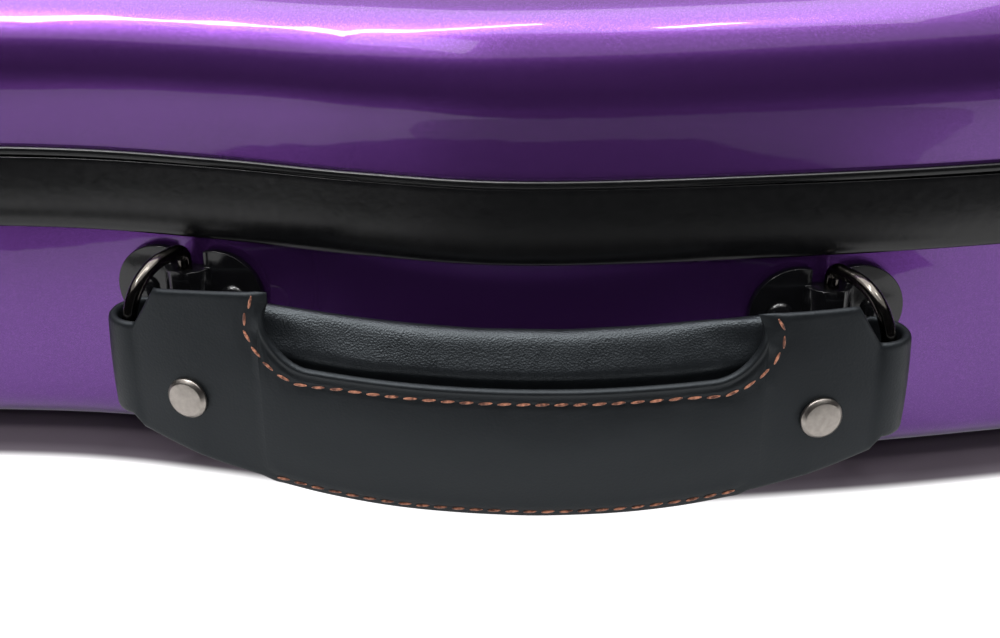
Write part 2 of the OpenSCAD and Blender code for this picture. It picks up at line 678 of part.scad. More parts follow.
// The end of a strip of leather: one quad between each pair of points across its thickness
function strip_cap(n, start, turned = false) =
    [for (i = [0 : n / 2 - 2]) let (a = start + i, b = start + n - 1 - i)
        turned ? [b, b - 1, a + 1, a] : [a, a + 1, b - 1, b]];
module in_handle() {
    translate([handle_mid.x, handle_mid.y, 0]) rotate([0, 0, handle_turn]) children();
}
module handle_cover() {
    n = len(cover_rows[0]);
    color(hide) in_handle()
        capped_loft(cover_rows, concat(strip_cap(n, 0), strip_cap(n, (len(cover_rows) - 1) * n, true)));
}

// Grip: a padded roll behind the cover, swelling to its middle, its crown showing above the window's edge
grip_half = rivet_x - 12;
grip_steps = 18;
grip_sides = 20;
grip_high = window_z + 11;
grip_gap = 0.4;
function grip_row(t) =
    let (x = grip_half * t, swell = sqrt(max(0.02, 1 - abs(t) ^ 3.4)), low = cover_bottom(x) + 7,
        thick = grip_t * (0.35 + 0.65 * swell) / 2, mid_z = (grip_high + low) / 2,
        tall = (grip_high - low) / 2 * (0.9 + 0.1 * swell),
        mid = cover_out(x) - leather_t / 2 - grip_gap - thick - 0.2)
    [for (k = [0 : grip_sides - 1]) let (a = -360 * k / grip_sides)
        [x, -(mid + thick * cos(a)), mid_z + tall * sin(a)]];
module handle_grip() {
    color(hide) in_handle() capped_loft([for (k = [0 : grip_steps]) grip_row(2 * k / grip_steps - 1)]);
}
// Rivets: a bevelled cap on the cover and a flat washer on the tail behind it
cap_gap = 0.15;
module rivet_cap(d, h) {
    bevel = 0.9;
    rotate([90, 0, 0]) rotate_extrude()
        polygon([[0, 0], [d / 2, 0], [d / 2, 0.5 * h], [d / 2 - bevel, h], [0, h]]);
}
module handle_rivets() {
    t = (loop_x - rivet_x) / (loop_x - tail_x);
    skin = leather_t / 2 + strap_crown / 4;
    back = lerp(-loop_r - loop_back, tail_out, t) - skin / cos(tail_tilt) - cap_gap;
    color(steel) in_handle() for (s = [-1, 1]) {
        translate([s * rivet_x, -cover_out(rivet_x) - skin - cap_gap, rivet_z])
            rotate([0, 0, atan(-cover_slope(s * rivet_x))]) rivet_cap(rivet_d, 1.6);
        translate([s * rivet_x, -back, rivet_z + 2]) rotate([0, 0, 180 + s * tail_tilt])
            rivet_cap(rivet_d - 1.4, 1);
    }
}

// Lining of the base: a floor pad, and on each side a row of foam blocks cut for the violin and the tray
lining_in = wall_t + inner_leg + 0.8;
bottom_in = edge_profile[0][0] + wall_t + 2;
rest_gap = 0.3;
violin_x = end_x - 35;
half_contour = [[0, 0], [0.033, 0.5], [0.128, 0.9], [0.264, 1], [0.403, 0.86], [0.528, 0.69], [0.653, 0.72],
    [0.806, 0.82], [0.931, 0.64], [1, 0.3]];
violin_mid = case_y + violin_y;
function body_point(p, side) = [violin_x - p[0] * body_len, violin_mid + side * p[1] * bout_half];
violin_outline = spline(concat([for (p = half_contour) body_point(p, -1)],
    [for (k = [len(half_contour) - 1 : -1 : 1]) body_point(half_contour[k], 1)]), 3);
neck_end = violin_x - body_len - 146;
scroll_w = 70;
scroll_len = 104;
scroll_lap = 6;
tray_l = 88;
tray_w = 100;
tray_gap = 0.4;
tray_t = 2;
tray_at = [45 - end_x + tray_l / 2, case_y + end_y];
// The blocks of a row meet in the wall beside the tray, at both ends of the neck channel and at the waist
tray_wall_x = (tray_at.x + tray_l / 2 + neck_end - scroll_len - scroll_lap) / 2;
seam_xs = [tray_wall_x, neck_end + scroll_lap, violin_x - body_len, violin_x - body_len / 2];
module tray_cut() {
    translate([tray_at.x, tray_at.y, recess_z - tray_t]) linear_extrude(lining_z)
        polygon(round_rect(tray_l + 2 * tray_gap, tray_w + 2 * tray_gap, 8));
}
module base_lining() {
    color(plush) difference() {
        translate([0, 0, floor_t + rest_gap]) linear_extrude(recess_z - floor_t - rest_gap)
            polygon(inset(outline, bottom_in));
        tray_cut();
    }
}
module lining_block(side) {
    low = recess_z + rest_gap;
    past = 2 * end_x;
    color(plush) difference() {
        translate([0, 0, low]) linear_extrude(lining_z - low) polygon(inset(outline, lining_in));
        translate([0, 0, recess_z]) linear_extrude(lining_z) polygon(violin_outline);
        translate([neck_end, violin_mid - neck_w / 2, recess_z])
            cube([violin_x - body_len - neck_end + 20, neck_w, lining_z]);
        translate([neck_end - scroll_len / 2, violin_mid, recess_z]) linear_extrude(lining_z)
            polygon(round_rect(scroll_len + 2 * scroll_lap, scroll_w, 16));
        tray_cut();
        for (x = seam_xs) translate([x - rest_gap / 2, -past, 0]) cube([rest_gap, 2 * past, lining_z + 1]);
        translate([-past, violin_mid + (side < 0 ? -rest_gap / 2 : rest_gap / 2 - past), 0])
            cube([2 * past, past, lining_z + 1]);
    }
}
module lining_block_front() { lining_block(-1); }
module lining_block_back() { lining_block(1); }
module accessory_tray() {
    color(plush) translate([tray_at.x, tray_at.y, recess_z - tray_t + tray_gap]) difference() {
        linear_extrude(lining_z - recess_z + tray_t) polygon(round_rect(tray_l, tray_w, 8));
        translate([0, 0, tray_t]) linear_extrude(lining_z)
            polygon(round_rect(tray_l - 2 * tray_t, tray_w - 2 * tray_t, 6));
    }
}
// A cushion: crowned, its sides drawn in between the corners, flat where it rests
cushion_rings = [[0.93, 0], [1, 0.34], [0.96, 0.62], [0.82, 0.85], [0.55, 0.97], [0.25, 1]];
cushion_sides = 36;
function cushion_edge(a, l, w) =
    let (r = (abs(cos(a)) ^ 3 + abs(sin(a)) ^ 3) ^ (-1 / 3) * (1 - 0.035 * (1 + cos(4 * a)) / 2))
    [l / 2 * r * cos(a), w / 2 * r * sin(a)];
module cushion(l, w, h) {
    capped_loft([for (c = cushion_rings) [for (k = [0 : cushion_sides - 1])
        let (p = cushion_edge(360 * k / cushion_sides, l, w)) [c[0] * p.x, c[0] * p.y, c[1] * h]]]);
}
module lower_cushion() {
    color(plush) translate([violin_x - 98, violin_mid, recess_z + rest_gap]) cushion(84, 150, 12);
}
module upper_cushion() {
    color(plush) translate([violin_x - 292, violin_mid, recess_z + rest_gap]) cushion(60, 116, 12);
}
cradle_x = violin_x - body_len - 80;
cradle_l = 52;
cradle_r = 19;
module neck_cradle() {
    w = neck_w - 2 * rest_gap;
    top = lining_z - 8;
    low = recess_z + rest_gap;
    color(plush) translate([cradle_x, violin_mid, 0]) difference() {
        along_x(cradle_l) polygon([[-w / 2, low], [w / 2, low], [w / 2, top - 4], [w / 2 - 4, top],
            [4 - w / 2, top], [-w / 2, top - 4]]);
        translate([0, 0, top]) rotate([0, 90, 0]) cylinder(r = cradle_r, h = 2 * cradle_l, center = true);
    }
}
tab_l = 46;
tab_w = 24;
module neck_strap_tabs() {
    out = neck_w / 2 + 3 + tab_l / 2;
    color(hide) for (s = [-1, 1]) translate([cradle_x, violin_mid + s * out, lining_z + rest_gap])
        linear_extrude(2) polygon(round_rect(tab_w, tab_l, 8));
}

// Lining of the lid, with the pockets and spinners that hold two bows
lid_lining_t = 5;
lid_lining_gap = 0.8;
lining_from = 0.08;
function lining_rise(drop) = lid_rise - wall_t - lid_lining_gap - drop;
function lining_row(row) = [row[0], row[1], max(row[2], lining_from)];
function lining_skin(dist, drop) =
    [for (row = lid_profile) lid_ring(dist, lining_row(row), lid_rim, lining_rise(drop))];
module lid_lining() {
    out = wall_t + lid_lining_gap;
    inner = lining_skin(out + lid_lining_t, lid_lining_t);
    color(plush) capped_loft(concat(reversed(inner), lining_skin(out, 0)));
}
function ceiling(x) = lid_height(x, 1, lid_rim, lining_rise(lid_lining_t));
bow_ys = [-26, 32];
spinner_x = 230;
spinner_t = 5;
post_d = 6;
post_h = 17;
spinner_w = 15;
post_z = ceiling(spinner_x) - 0.8;
module spinner_posts() {
    r = post_d / 2;
    shoulder = post_h - spinner_t - 0.6;
    color(enamel) for (y = bow_ys) translate([spinner_x, case_y + y, post_z]) mirror([0, 0, 1])
        rotate_extrude() polygon([[0, 0], [10, 0], [10, 1.4], [r + 2, 3], [r + 1, shoulder], [r, shoulder],
            [r, post_h], [5.6, post_h], [5, post_h + 1.6], [0, post_h + 2]]);
}
module bow_spinner(y) {
    reach = spinner_len / 2 - spinner_w / 2;
    color(enamel) translate([spinner_x, case_y + y, post_z - post_h + 0.3]) difference() {
        linear_extrude(spinner_t) union() {
            square([2 * reach, spinner_w], center = true);
            for (s = [-1, 1]) translate([s * reach, 0]) circle(d = spinner_w);
        }
        translate([0, 0, -1]) cylinder(d = post_d + 2 * run_clear, h = spinner_t + 2);
    }
}
module bow_spinner_front() { bow_spinner(bow_ys[0]); }
module bow_spinner_back() { bow_spinner(bow_ys[1]); }
pocket_x = 130 - end_x;
pocket_len = 58;
pocket_r = 10;
pocket_t = 2;
pocket_share = 0.62;
module pocket_section(r, rise) {
    translate([0, -pocket_r]) {
        circle(r = r);
        translate([-r, 0]) square([2 * r, rise]);
    }
}
module bow_tip_pockets() {
    drop = atan(lid_taper * lining_rise(lid_lining_t) / case_len);
    hollow = pocket_r - pocket_t;
    mid = case_y + end_y / 2;
    color(plush) for (y = bow_ys) translate([pocket_x, mid + pocket_share * y, ceiling(pocket_x) - 0.8])
        rotate([0, -drop, 0]) difference() {
            along_x(pocket_len) pocket_section(pocket_r, pocket_r);
            translate([pocket_t * 2, 0, 0]) along_x(pocket_len) pocket_section(hollow, hollow);
        }
}

base_shell();
base_seal_strip();
floor_feet();
spine_feet();
base_hinge_leaves();
hinge_pins();
base_hinge_rivets();
lid_hinge_leaves();
lid_hinge_rivets();
lid_shell();
lid_edge_trim();
lid_lining();
bow_tip_pockets();
spinner_posts();
bow_spinner_front();
bow_spinner_back();
latch_keepers();
keeper_rivets();
latch_plates();
latch_plate_rivets();
latch_lever_pins();
latch_lever_left();
latch_lever_right();
latch_bail_left();
latch_bail_right();
handle_bracket_left();
handle_bracket_right();
bracket_screws();
handle_ring_left();
handle_ring_right();
handle_cover();
handle_grip();
handle_rivets();
strap_bracket_scroll();
strap_bracket_lower();
strap_bracket_screws();
strap_ring_scroll();
strap_ring_lower();
base_lining();
lining_block_front();
lining_block_back();
lower_cushion();
upper_cushion();
neck_cradle();
neck_strap_tabs();
accessory_tray();
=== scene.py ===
import json
import math
import bmesh
import bpy
from mathutils import Matrix, Vector, noise


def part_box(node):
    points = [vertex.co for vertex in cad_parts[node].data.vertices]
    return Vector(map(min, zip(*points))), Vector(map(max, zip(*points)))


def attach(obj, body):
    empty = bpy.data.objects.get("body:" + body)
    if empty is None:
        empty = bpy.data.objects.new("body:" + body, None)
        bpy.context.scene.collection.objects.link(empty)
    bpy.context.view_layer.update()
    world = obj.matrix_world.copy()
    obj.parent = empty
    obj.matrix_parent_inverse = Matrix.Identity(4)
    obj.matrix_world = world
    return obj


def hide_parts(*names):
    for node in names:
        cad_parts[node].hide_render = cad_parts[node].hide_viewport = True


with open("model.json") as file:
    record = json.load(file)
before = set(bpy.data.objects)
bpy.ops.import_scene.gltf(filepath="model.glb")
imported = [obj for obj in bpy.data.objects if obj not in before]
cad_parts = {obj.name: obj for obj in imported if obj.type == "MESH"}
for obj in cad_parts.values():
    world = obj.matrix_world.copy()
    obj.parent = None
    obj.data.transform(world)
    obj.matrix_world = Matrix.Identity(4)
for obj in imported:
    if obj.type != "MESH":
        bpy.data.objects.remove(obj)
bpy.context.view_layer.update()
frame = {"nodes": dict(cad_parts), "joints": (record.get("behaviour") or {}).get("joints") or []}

mm = 0.001

# The studio: a dark room round a sheet of white paper, with a wide soft box and bare tubes overhead.
# The tubes draw the thin streaks along the lid's shoulder, and the room is the dark band below them.
# The room is a band all round that only mirror rays meet.
scene = bpy.context.scene
scene.view_settings.view_transform = "Standard"
room_wide, room_deep, room_high = 1.0, 0.53, 0.62
room_colour = (0.02, 0.02, 0.022)
room_light = 0.30


def mesh_piece(name, bm, material, smooth=True):
    """A bmesh as an object in the scene, in one material."""
    for face in bm.faces:
        face.smooth = smooth
    mesh = bpy.data.meshes.new(name)
    bm.to_mesh(mesh)
    bm.free()
    obj = bpy.data.objects.new(name, mesh)
    scene.collection.objects.link(obj)
    mesh.materials.append(material)
    return obj


def blank_material(name):
    material = bpy.data.materials.new(name)
    material.use_nodes = True
    return material, material.node_tree, material.node_tree.nodes["Principled BSDF"]


def set_inputs(node, values):
    for name, value in values.items():
        node.inputs[name].default_value = value


def matt(name, colour):
    """A dull material for what stands round the object."""
    material, _, shader = blank_material(name)
    set_inputs(shader, {"Base Color": (*colour, 1), "Roughness": 0.9, "Specular IOR Level": 0.0})
    return material


def mirror_only(obj):
    """Leaves a piece of the studio to mirror rays alone."""
    obj.visible_camera = obj.visible_diffuse = False
    obj.visible_shadow = obj.visible_transmission = False


bm = bmesh.new()
bmesh.ops.create_circle(bm, segments=64, radius=room_wide)
bmesh.ops.scale(bm, vec=(1.0, room_deep, 1.0), verts=bm.verts)
rise = bmesh.ops.extrude_edge_only(bm, edges=bm.edges[:])["geom"]
upper = [part for part in rise if isinstance(part, bmesh.types.BMVert)]
bmesh.ops.translate(bm, verts=upper, vec=(0, 0, room_high))
mirror_only(mesh_piece("studio_room_band", bm, matt("studio_room", room_colour)))


def add_node(tree, kind, values=None):
    node = tree.nodes.new(kind)
    set_inputs(node, values or {})
    return node


def combined(tree, operation, *values):
    """What a maths node makes of sockets and numbers."""
    node = add_node(tree, "ShaderNodeMath")
    node.operation = operation
    for socket, value in zip(node.inputs, values):
        if isinstance(value, bpy.types.NodeSocket):
            tree.links.new(value, socket)
        else:
            socket.default_value = value
    return node.outputs[0]


def spread(tree, source, target, low, high):
    """Leads a value from 0 to 1 to a socket, spread over a range."""
    node = add_node(tree, "ShaderNodeMapRange", {"To Min": low, "To Max": high})
    tree.links.new(source, node.inputs["Value"])
    tree.links.new(node.outputs["Result"], target)


world = bpy.data.worlds.new("studio")
scene.world = world
world.use_nodes = True
tree = world.node_tree
backdrop = tree.nodes["Background"]
set_inputs(backdrop, {"Color": (1, 1, 1, 1)})
ray = add_node(tree, "ShaderNodeLightPath")
seen = combined(tree, "MAXIMUM", ray.outputs["Is Camera Ray"], ray.outputs["Is Transmission Ray"])
seen = combined(tree, "MAXIMUM", seen, ray.outputs["Is Glossy Ray"])
spread(tree, seen, backdrop.inputs["Strength"], room_light, 1.0)


def soft_box(name, place, aim, size, power):
    lamp = bpy.data.lights.new(name, "AREA")
    lamp.shape = "RECTANGLE"
    lamp.size, lamp.size_y = size
    lamp.energy = power
    obj = bpy.data.objects.new(name, lamp)
    scene.collection.objects.link(obj)
    obj.location = place
    obj.rotation_euler = (Vector(aim) - Vector(place)).to_track_quat("-Z", "Y").to_euler()
    obj.visible_camera = False
    return obj


ceiling = 1.4
handle_aim = (0.1, -0.1, 0.1)
soft_box("box_over", (0.0, -0.02, ceiling), (0.0, 0.0, 0.1), (1.8, 1.1), 17)
soft_box("tube_left", (-0.65, -0.5, ceiling), handle_aim, (0.26, 0.10), 2.2)
soft_box("tube_long", (-0.2, -0.3, ceiling), handle_aim, (0.06, 0.85), 4.6)
soft_box("tube_right", (0.48, -0.36, ceiling), handle_aim, (0.16, 0.06), 1.2)
soft_box("box_left", (-0.42, -0.78, ceiling), (0.1, -0.1, 0.05), (0.42, 0.22), 0.8)
soft_box("box_front", (0.2, -1.3, 0.9), (0.1, 0.0, 0.05), (1.0, 0.6), 6).visible_glossy = False
soft_box("box_back", (-0.3, 1.3, 1.0), (0.0, 0.0, 0.05), (1.0, 0.6), 6)

# The camera: it stands in front of the handle and looks down on it at the photograph's angle.
# Its focal length is that of the photograph, in pixels of a picture 1000 pixels wide.
picture_wide, focal_px, look_down = 1000, 1500, 25
camera = bpy.data.objects.new("camera", bpy.data.cameras.new("camera"))
scene.collection.objects.link(camera)
camera.data.sensor_width = 36
camera.data.lens = camera.data.sensor_width * focal_px / picture_wide
camera.location = (0.1084, -0.4536, 0.203)
camera.rotation_euler = (math.radians(90 - look_down), 0, 0)
camera.data.clip_start = 0.01
scene.camera = camera

# Base shell: a moulded composite tray, its outside sprayed with a metallic lacquer under a gloss clear coat.
# The wall stands upright on a rounded bottom edge, and its bare rim ends inside the rubber strip.
# The plan is a smooth curve: a scroll end, an S bend to the belly at the handle, and a straight back.
end_x, case_y, foot_h, rim_z, wall_t = 395, 14, 2.5, 77.2, 3.0
belly_x, belly_front, waist_front = 115, 132, 104.5
scroll_front, scroll_back, end_corner = 66, 82, 62
back_y, back_from, back_to, back_step = 122, 300, -100, 80
curve_steps = 8


def between(a, b, t):
    """A value on the way from a to b."""
    return a + (b - a) * t


quarter = math.pi / 2
scroll_x, waist_x, belly_drop = end_corner - end_x, belly_x - 165, belly_front - waist_front
plan = [(-end_x, 8), (14 - end_x, 20 - scroll_front)]
plan += [(between(scroll_x, waist_x, t), -between(scroll_front, waist_front, math.sin(quarter * t)))
         for t in (0, 0.25, 0.5, 0.75, 1)]
plan += [(belly_x - left, drop * belly_drop - belly_front)
         for left, drop in ((115, 0.9), (75, 0.6), (40, 0.24), (0, 0))]
plan += [(belly_x + 60, 5 - belly_front), (belly_x + 120, 14.5 - belly_front)]
plan += [(end_x - 82, 33 - belly_front), (end_x - 30, 73 - belly_front)]
plan += [(end_x, 14), (end_x - 32, back_y - 22)]
plan += [(x, back_y) for x in range(back_from, back_to - 1, -back_step)]
plan += [(between(back_to, scroll_x, t), between(back_y, scroll_back, 1 - math.cos(quarter * t)))
         for t in (1 / 3, 2 / 3, 1)]
plan += [(14 - end_x, scroll_back - 27)]


def catmull(a, b, c, d, t):
    """A place on a smooth curve between its points b and c."""
    return 0.5 * (2 * b + (c - a) * t + (2 * a - 5 * b + 4 * c - d) * t ** 2
                  + (3 * b - a - 3 * c + d) * t ** 3)


def closed_curve(points, steps):
    """A smooth closed curve through points, in a number of steps between each two."""
    p = [Vector(q) for q in points]
    n = len(p)
    return [catmull(p[i - 1], p[i], p[(i + 1) % n], p[(i + 2) % n], k / steps)
            for i in range(n) for k in range(steps)]


outline = closed_curve([(x, case_y + y) for x, y in plan], curve_steps)


def drawn_in(curve, dist):
    """A closed curve moved inwards by a distance."""
    n = len(curve)
    along = [(curve[(i + 1) % n] - curve[i - 1]).normalized() for i in range(n)]
    return [q - dist * Vector((d.y, -d.x)) for q, d in zip(curve, along)]


def level(curve, z):
    """A curve as a ring of points at one height."""
    return [(q.x, q.y, z) for q in curve]


def ring_edges(bm, row):
    return [bm.edges.get((row[i - 1], row[i])) for i in range(len(row))]


def loft(rings, closed=False, cap_first=False, cap_last=False):
    """A skin through closed rings of points in mm, each ring extruded out of the one before."""
    bm = bmesh.new()
    first = row = [bm.verts.new(Vector(p) * mm) for p in rings[0]]
    for i in range(len(row)):
        bm.edges.new((row[i - 1], row[i]))
    for ring in rings[1:]:
        before = set(bm.verts)
        bmesh.ops.extrude_edge_only(bm, edges=ring_edges(bm, row))
        row = [w for v in row for w in (e.other_vert(v) for e in v.link_edges) if w not in before]
        for v, p in zip(row, ring):
            v.co = Vector(p) * mm
    if closed:
        bmesh.ops.bridge_loops(bm, edges=ring_edges(bm, first) + ring_edges(bm, row))
    if cap_first:
        bm.faces.new(first)
    if cap_last:
        bm.faces.new(row)
    bmesh.ops.recalc_face_normals(bm, faces=bm.faces)
    return bm


def pattern(tree, kind, values):
    """A texture node that reads Object coordinates."""
    place = add_node(tree, "ShaderNodeTexCoord")
    texture = add_node(tree, kind, values)
    tree.links.new(place.outputs["Object"], texture.inputs["Vector"])
    return texture


def tinted(tree, source, target, *stops):
    """Leads a value to a colour socket, through colours at rising places from 0 to 1."""
    node = add_node(tree, "ShaderNodeValToRGB")
    row = node.color_ramp.elements
    for i, (place, colour) in enumerate(stops):
        stop = row[i] if i < 2 else row.new(place)
        stop.position = place
        stop.color = (*colour, 1)
    tree.links.new(source, node.inputs["Fac"])
    tree.links.new(node.outputs["Color"], target)


def relief(tree, source, target, strength, depth):
    """Leads a value to a normal socket as a bump, its depth in mm."""
    node = add_node(tree, "ShaderNodeBump", {"Strength": strength, "Distance": depth * mm})
    tree.links.new(source, node.inputs["Height"])
    tree.links.new(node.outputs["Normal"], target)


# The lacquer is a purple ground with fine flakes, each at its own angle, and the clear coat has a slight peel
lacquer, tree, shader = blank_material("purple_lacquer")
flakes = add_node(tree, "ShaderNodeSeparateColor")
cells = pattern(tree, "ShaderNodeTexVoronoi", {"Scale": 4600})
tree.links.new(cells.outputs["Color"], flakes.inputs["Color"])
tinted(tree, flakes.outputs["Red"], shader.inputs["Base Color"],
       (0, (0.125, 0.036, 0.235)), (0.72, (0.145, 0.043, 0.268)), (1, (0.190, 0.062, 0.330)))
relief(tree, flakes.outputs["Green"], shader.inputs["Normal"], 0.05, 0.2)
peel = pattern(tree, "ShaderNodeTexNoise", {"Scale": 160, "Detail": 1})
relief(tree, peel.outputs["Fac"], shader.inputs["Coat Normal"], 0.03, 0.4)
set_inputs(shader, {"Metallic": 0.85, "Roughness": 0.27, "Coat Weight": 1.0, "Coat IOR": 1.42,
                    "Coat Roughness": 0.03})

# The bottom edge is rounder at the scroll end than at the lower bout
floor_in, edge_in, edge_rise, edge_scroll, edge_lower, edge_steps = 14, 10, 11.5, 1.4, 0.6, 9
wall_heights = (24, 36, 48, 60, 70, rim_z)
inner_low = 66


def edge_ring(turn):
    """The rounded edge at a turn from 0, flat underneath, to 1, upright."""
    a = quarter * turn
    rise = edge_rise * (1 - math.cos(a))
    ring = []
    for q in drawn_in(outline, edge_in * (1 - math.sin(a))):
        along = (q.x + end_x) / (2 * end_x)
        ring.append((q.x, q.y, foot_h + rise * between(edge_scroll, edge_lower, along)))
    return ring


rings = [level(drawn_in(outline, floor_in), foot_h)]
rings += [edge_ring(k / edge_steps) for k in range(edge_steps + 1)]
rings += [level(outline, z) for z in wall_heights]
rings += [level(drawn_in(outline, wall_t), z) for z in (rim_z, inner_low)]
base_shell = mesh_piece("base_shell_lacquered", loft(rings, cap_first=True), lacquer)
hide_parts("base_shell")
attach(base_shell, "base")

# Rubber strip: a soft black channel, extruded with a swelling face and pressed over the base rim.
# Its upper edge stands a little higher where the strip is stretched round the belly at the handle.
# Each point of the section is a distance inwards from the outline, a height, and a share of that rise.
crest_x, crest_reach, crest_rise = 105, 120, 0.9
strip_section = [
    (5.2, 69.2, 0), (3.3, 69.0, 0), (-0.2, 64, 0), (-0.2, 61.7, 0), (-1.6, 61.6, 0), (-2.4, 61.75, 0),
    (-2.95, 62.4, 0), (-3.2, 63.6, 0), (-3.32, 65.4, 0), (-3.3, 67.4, 0), (-3.16, 69.4, 0), (-2.95, 71.6, 0),
    (-2.68, 73.8, 0.05), (-2.4, 75.8, 0.2), (-2.16, 77.4, 0.5), (-1.97, 78.6, 0.85), (-1.85, 79.4, 1),
    (-1.76, 79.75, 1), (-1.58, 79.95, 1), (-1.35, 79.95, 0.9), (-1.2, 79.7, 0.5), (-1.0, 79.6, 0.1),
    (-0.7, 79.9, 0), (0.2, 80.2, 0), (2.5, 80.2, 0), (4.6, 80.2, 0), (5.1, 79.9, 0), (5.2, 79.2, 0)]
rubber, tree, shader = blank_material("seal_rubber")
dust = pattern(tree, "ShaderNodeTexNoise", {"Scale": 420, "Detail": 5}).outputs["Fac"]
tinted(tree, dust, shader.inputs["Base Color"],
       (0, (0.0026, 0.0027, 0.0030)), (1, (0.0062, 0.0064, 0.0070)))
spread(tree, dust, shader.inputs["Roughness"], 0.17, 0.30)
relief(tree, dust, shader.inputs["Normal"], 0.12, 0.3)


def hump(v, middle, width):
    """A bell curve of height 1."""
    return math.exp(-((v - middle) / width) ** 2)


def strip_ring(dist, z, crest):
    return [(q.x, q.y, z + crest * crest_rise * hump(q.x, crest_x, crest_reach) * (q.y < 0))
            for q in drawn_in(outline, dist)]


strip_rings = [strip_ring(*row) for row in strip_section]
seal_strip = mesh_piece("base_strip_rubber", loft(strip_rings, closed=True), rubber)
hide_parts("base_seal_strip")
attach(seal_strip, "base")

# Lid trim: a thinner channel of the same rubber, pressed over the lid's rim.
# Its outside is rolled into a bead that closes on the strip.
trim_section = [(5.2, 80.9), (5.0, 80.65), (4.4, 80.6), (2, 80.6), (-0.8, 80.6), (-1.5, 80.7), (-1.9, 81.1),
                (-2.0, 81.7), (-1.9, 82.4), (-1.5, 82.8), (-0.9, 82.85), (-0.3, 82.7), (-0.15, 82.2),
                (3.15, 82.2), (3.3, 82.7), (4.2, 82.8), (5.0, 82.7), (5.2, 82.3)]
trim_rings = [level(drawn_in(outline, dist), z) for dist, z in trim_section]
lid_trim = mesh_piece("lid_trim_rubber", loft(trim_rings, closed=True), rubber)
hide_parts("lid_edge_trim")
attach(lid_trim, "lid")

# Lid shell: moulded and lacquered like the base, upright at its rim and turned over into a long low crown.
# The crown falls towards the scroll end. Each row of the profile is a distance inwards from the outline,
# then a share of the way to the spine line, and a share of the crown's height.
lid_rim, lid_rise, lid_taper = 81.6, 54.0, 0.22
spine_in, spine_y, crown_in, inner_high = 110, 18, 12, 95
lid_profile = [(0, 0, 0), (0, 0, 0.36), (1.4, 0, 0.5), (5, 0, 0.63), (11, 0, 0.75), (crown_in, 0.1, 0.85),
               (crown_in, 0.25, 0.93), (crown_in, 0.45, 0.975), (crown_in, 0.72, 1)]
crown_rows = ((0.8, 0.0015), (0.88, 0.003), (0.95, 0.004), (0.985, 0.0044))
rim_rows = (0, 0.004, 0.012)
profile_steps = 4


def lid_ring(dist, inward, height, rise=lid_rise):
    ring = []
    for q in drawn_in(outline, dist):
        spine = Vector((min(max(q.x, spine_in - end_x), end_x - spine_in), spine_y))
        p = q.lerp(spine, inward)
        ring.append((p.x, p.y, lid_rim + height * rise * (1 - lid_taper * (end_x - p.x) / (2 * end_x))))
    return ring


def smooth_profile(rows, steps):
    p = [Vector(r) for r in rows]
    p = [2 * p[0] - p[1]] + p + [2 * p[-1] - p[-2]]
    out = [catmull(*p[i - 1:i + 3], k / steps) for i in range(1, len(p) - 2) for k in range(steps)]
    return out + [p[-2]]


rings = [level(drawn_in(outline, wall_t), z) for z in (inner_high, lid_rim)]
rings += [lid_ring(0, 0, height) for height in rim_rows]
rings += [lid_ring(*row) for row in smooth_profile(lid_profile, profile_steps)[1:]]
rings += [lid_ring(crown_in, inward, 1 + swell) for inward, swell in crown_rows]
lid_shell = mesh_piece("lid_shell_lacquered", loft(rings, cap_last=True), lacquer)
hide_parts("lid_shell")
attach(lid_shell, "lid")

# Ring brackets: pressed bow-tie plates with a raised bridge over the ring's bar, in gloss black enamel.
# Each is held to the wall by two domed screws in the same finish, and the edges are rolled by the press.
enamel, tree, shader = blank_material("black_enamel")
runs = pattern(tree, "ShaderNodeTexNoise", {"Scale": 240, "Detail": 2}).outputs["Fac"]
tinted(tree, runs, shader.inputs["Base Color"], (0, (0.0025, 0.0025, 0.003)), (1, (0.007, 0.007, 0.008)))
relief(tree, runs, shader.inputs["Normal"], 0.10, 0.5)
set_inputs(shader, {"Roughness": 0.14, "Coat Weight": 0.2, "Coat Roughness": 0.06})
weld = 2e-6
flat_angle, hard_angle, crease_angle = math.radians(1.5), math.radians(28), math.radians(32)


def merged_copy(node):
    """A CAD node's mesh with its loose triangles joined."""
    bm = bmesh.new()
    bm.from_mesh(frame["nodes"][node].data)
    bmesh.ops.remove_doubles(bm, verts=bm.verts, dist=weld)
    return bm


def softened(node, name, width, material, body, segments=3):
    """A CAD node with its hard edges rolled over by a width in mm."""
    bm = merged_copy(node)
    bmesh.ops.dissolve_limit(bm, angle_limit=flat_angle, verts=bm.verts, edges=bm.edges)
    hard = [e for e in bm.edges if e.is_manifold and e.calc_face_angle(0) > hard_angle]
    bmesh.ops.bevel(bm, geom=hard, offset=width * mm, offset_type="OFFSET", segments=segments, profile=0.5,
                    affect="EDGES", material=-1, clamp_overlap=True)
    bmesh.ops.recalc_face_normals(bm, faces=bm.faces)
    obj = mesh_piece(name, bm, material)
    obj.data.set_sharp_from_angle(angle=crease_angle)
    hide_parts(node)
    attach(obj, body)


for node in ("handle_bracket_left", "handle_bracket_right", "strap_bracket_scroll", "strap_bracket_lower"):
    softened(node, node + "_enamelled", 0.55, enamel, "base")
for node in ("bracket_screws", "strap_bracket_screws"):
    softened(node, node + "_enamelled", 0.2, enamel, "base", segments=2)

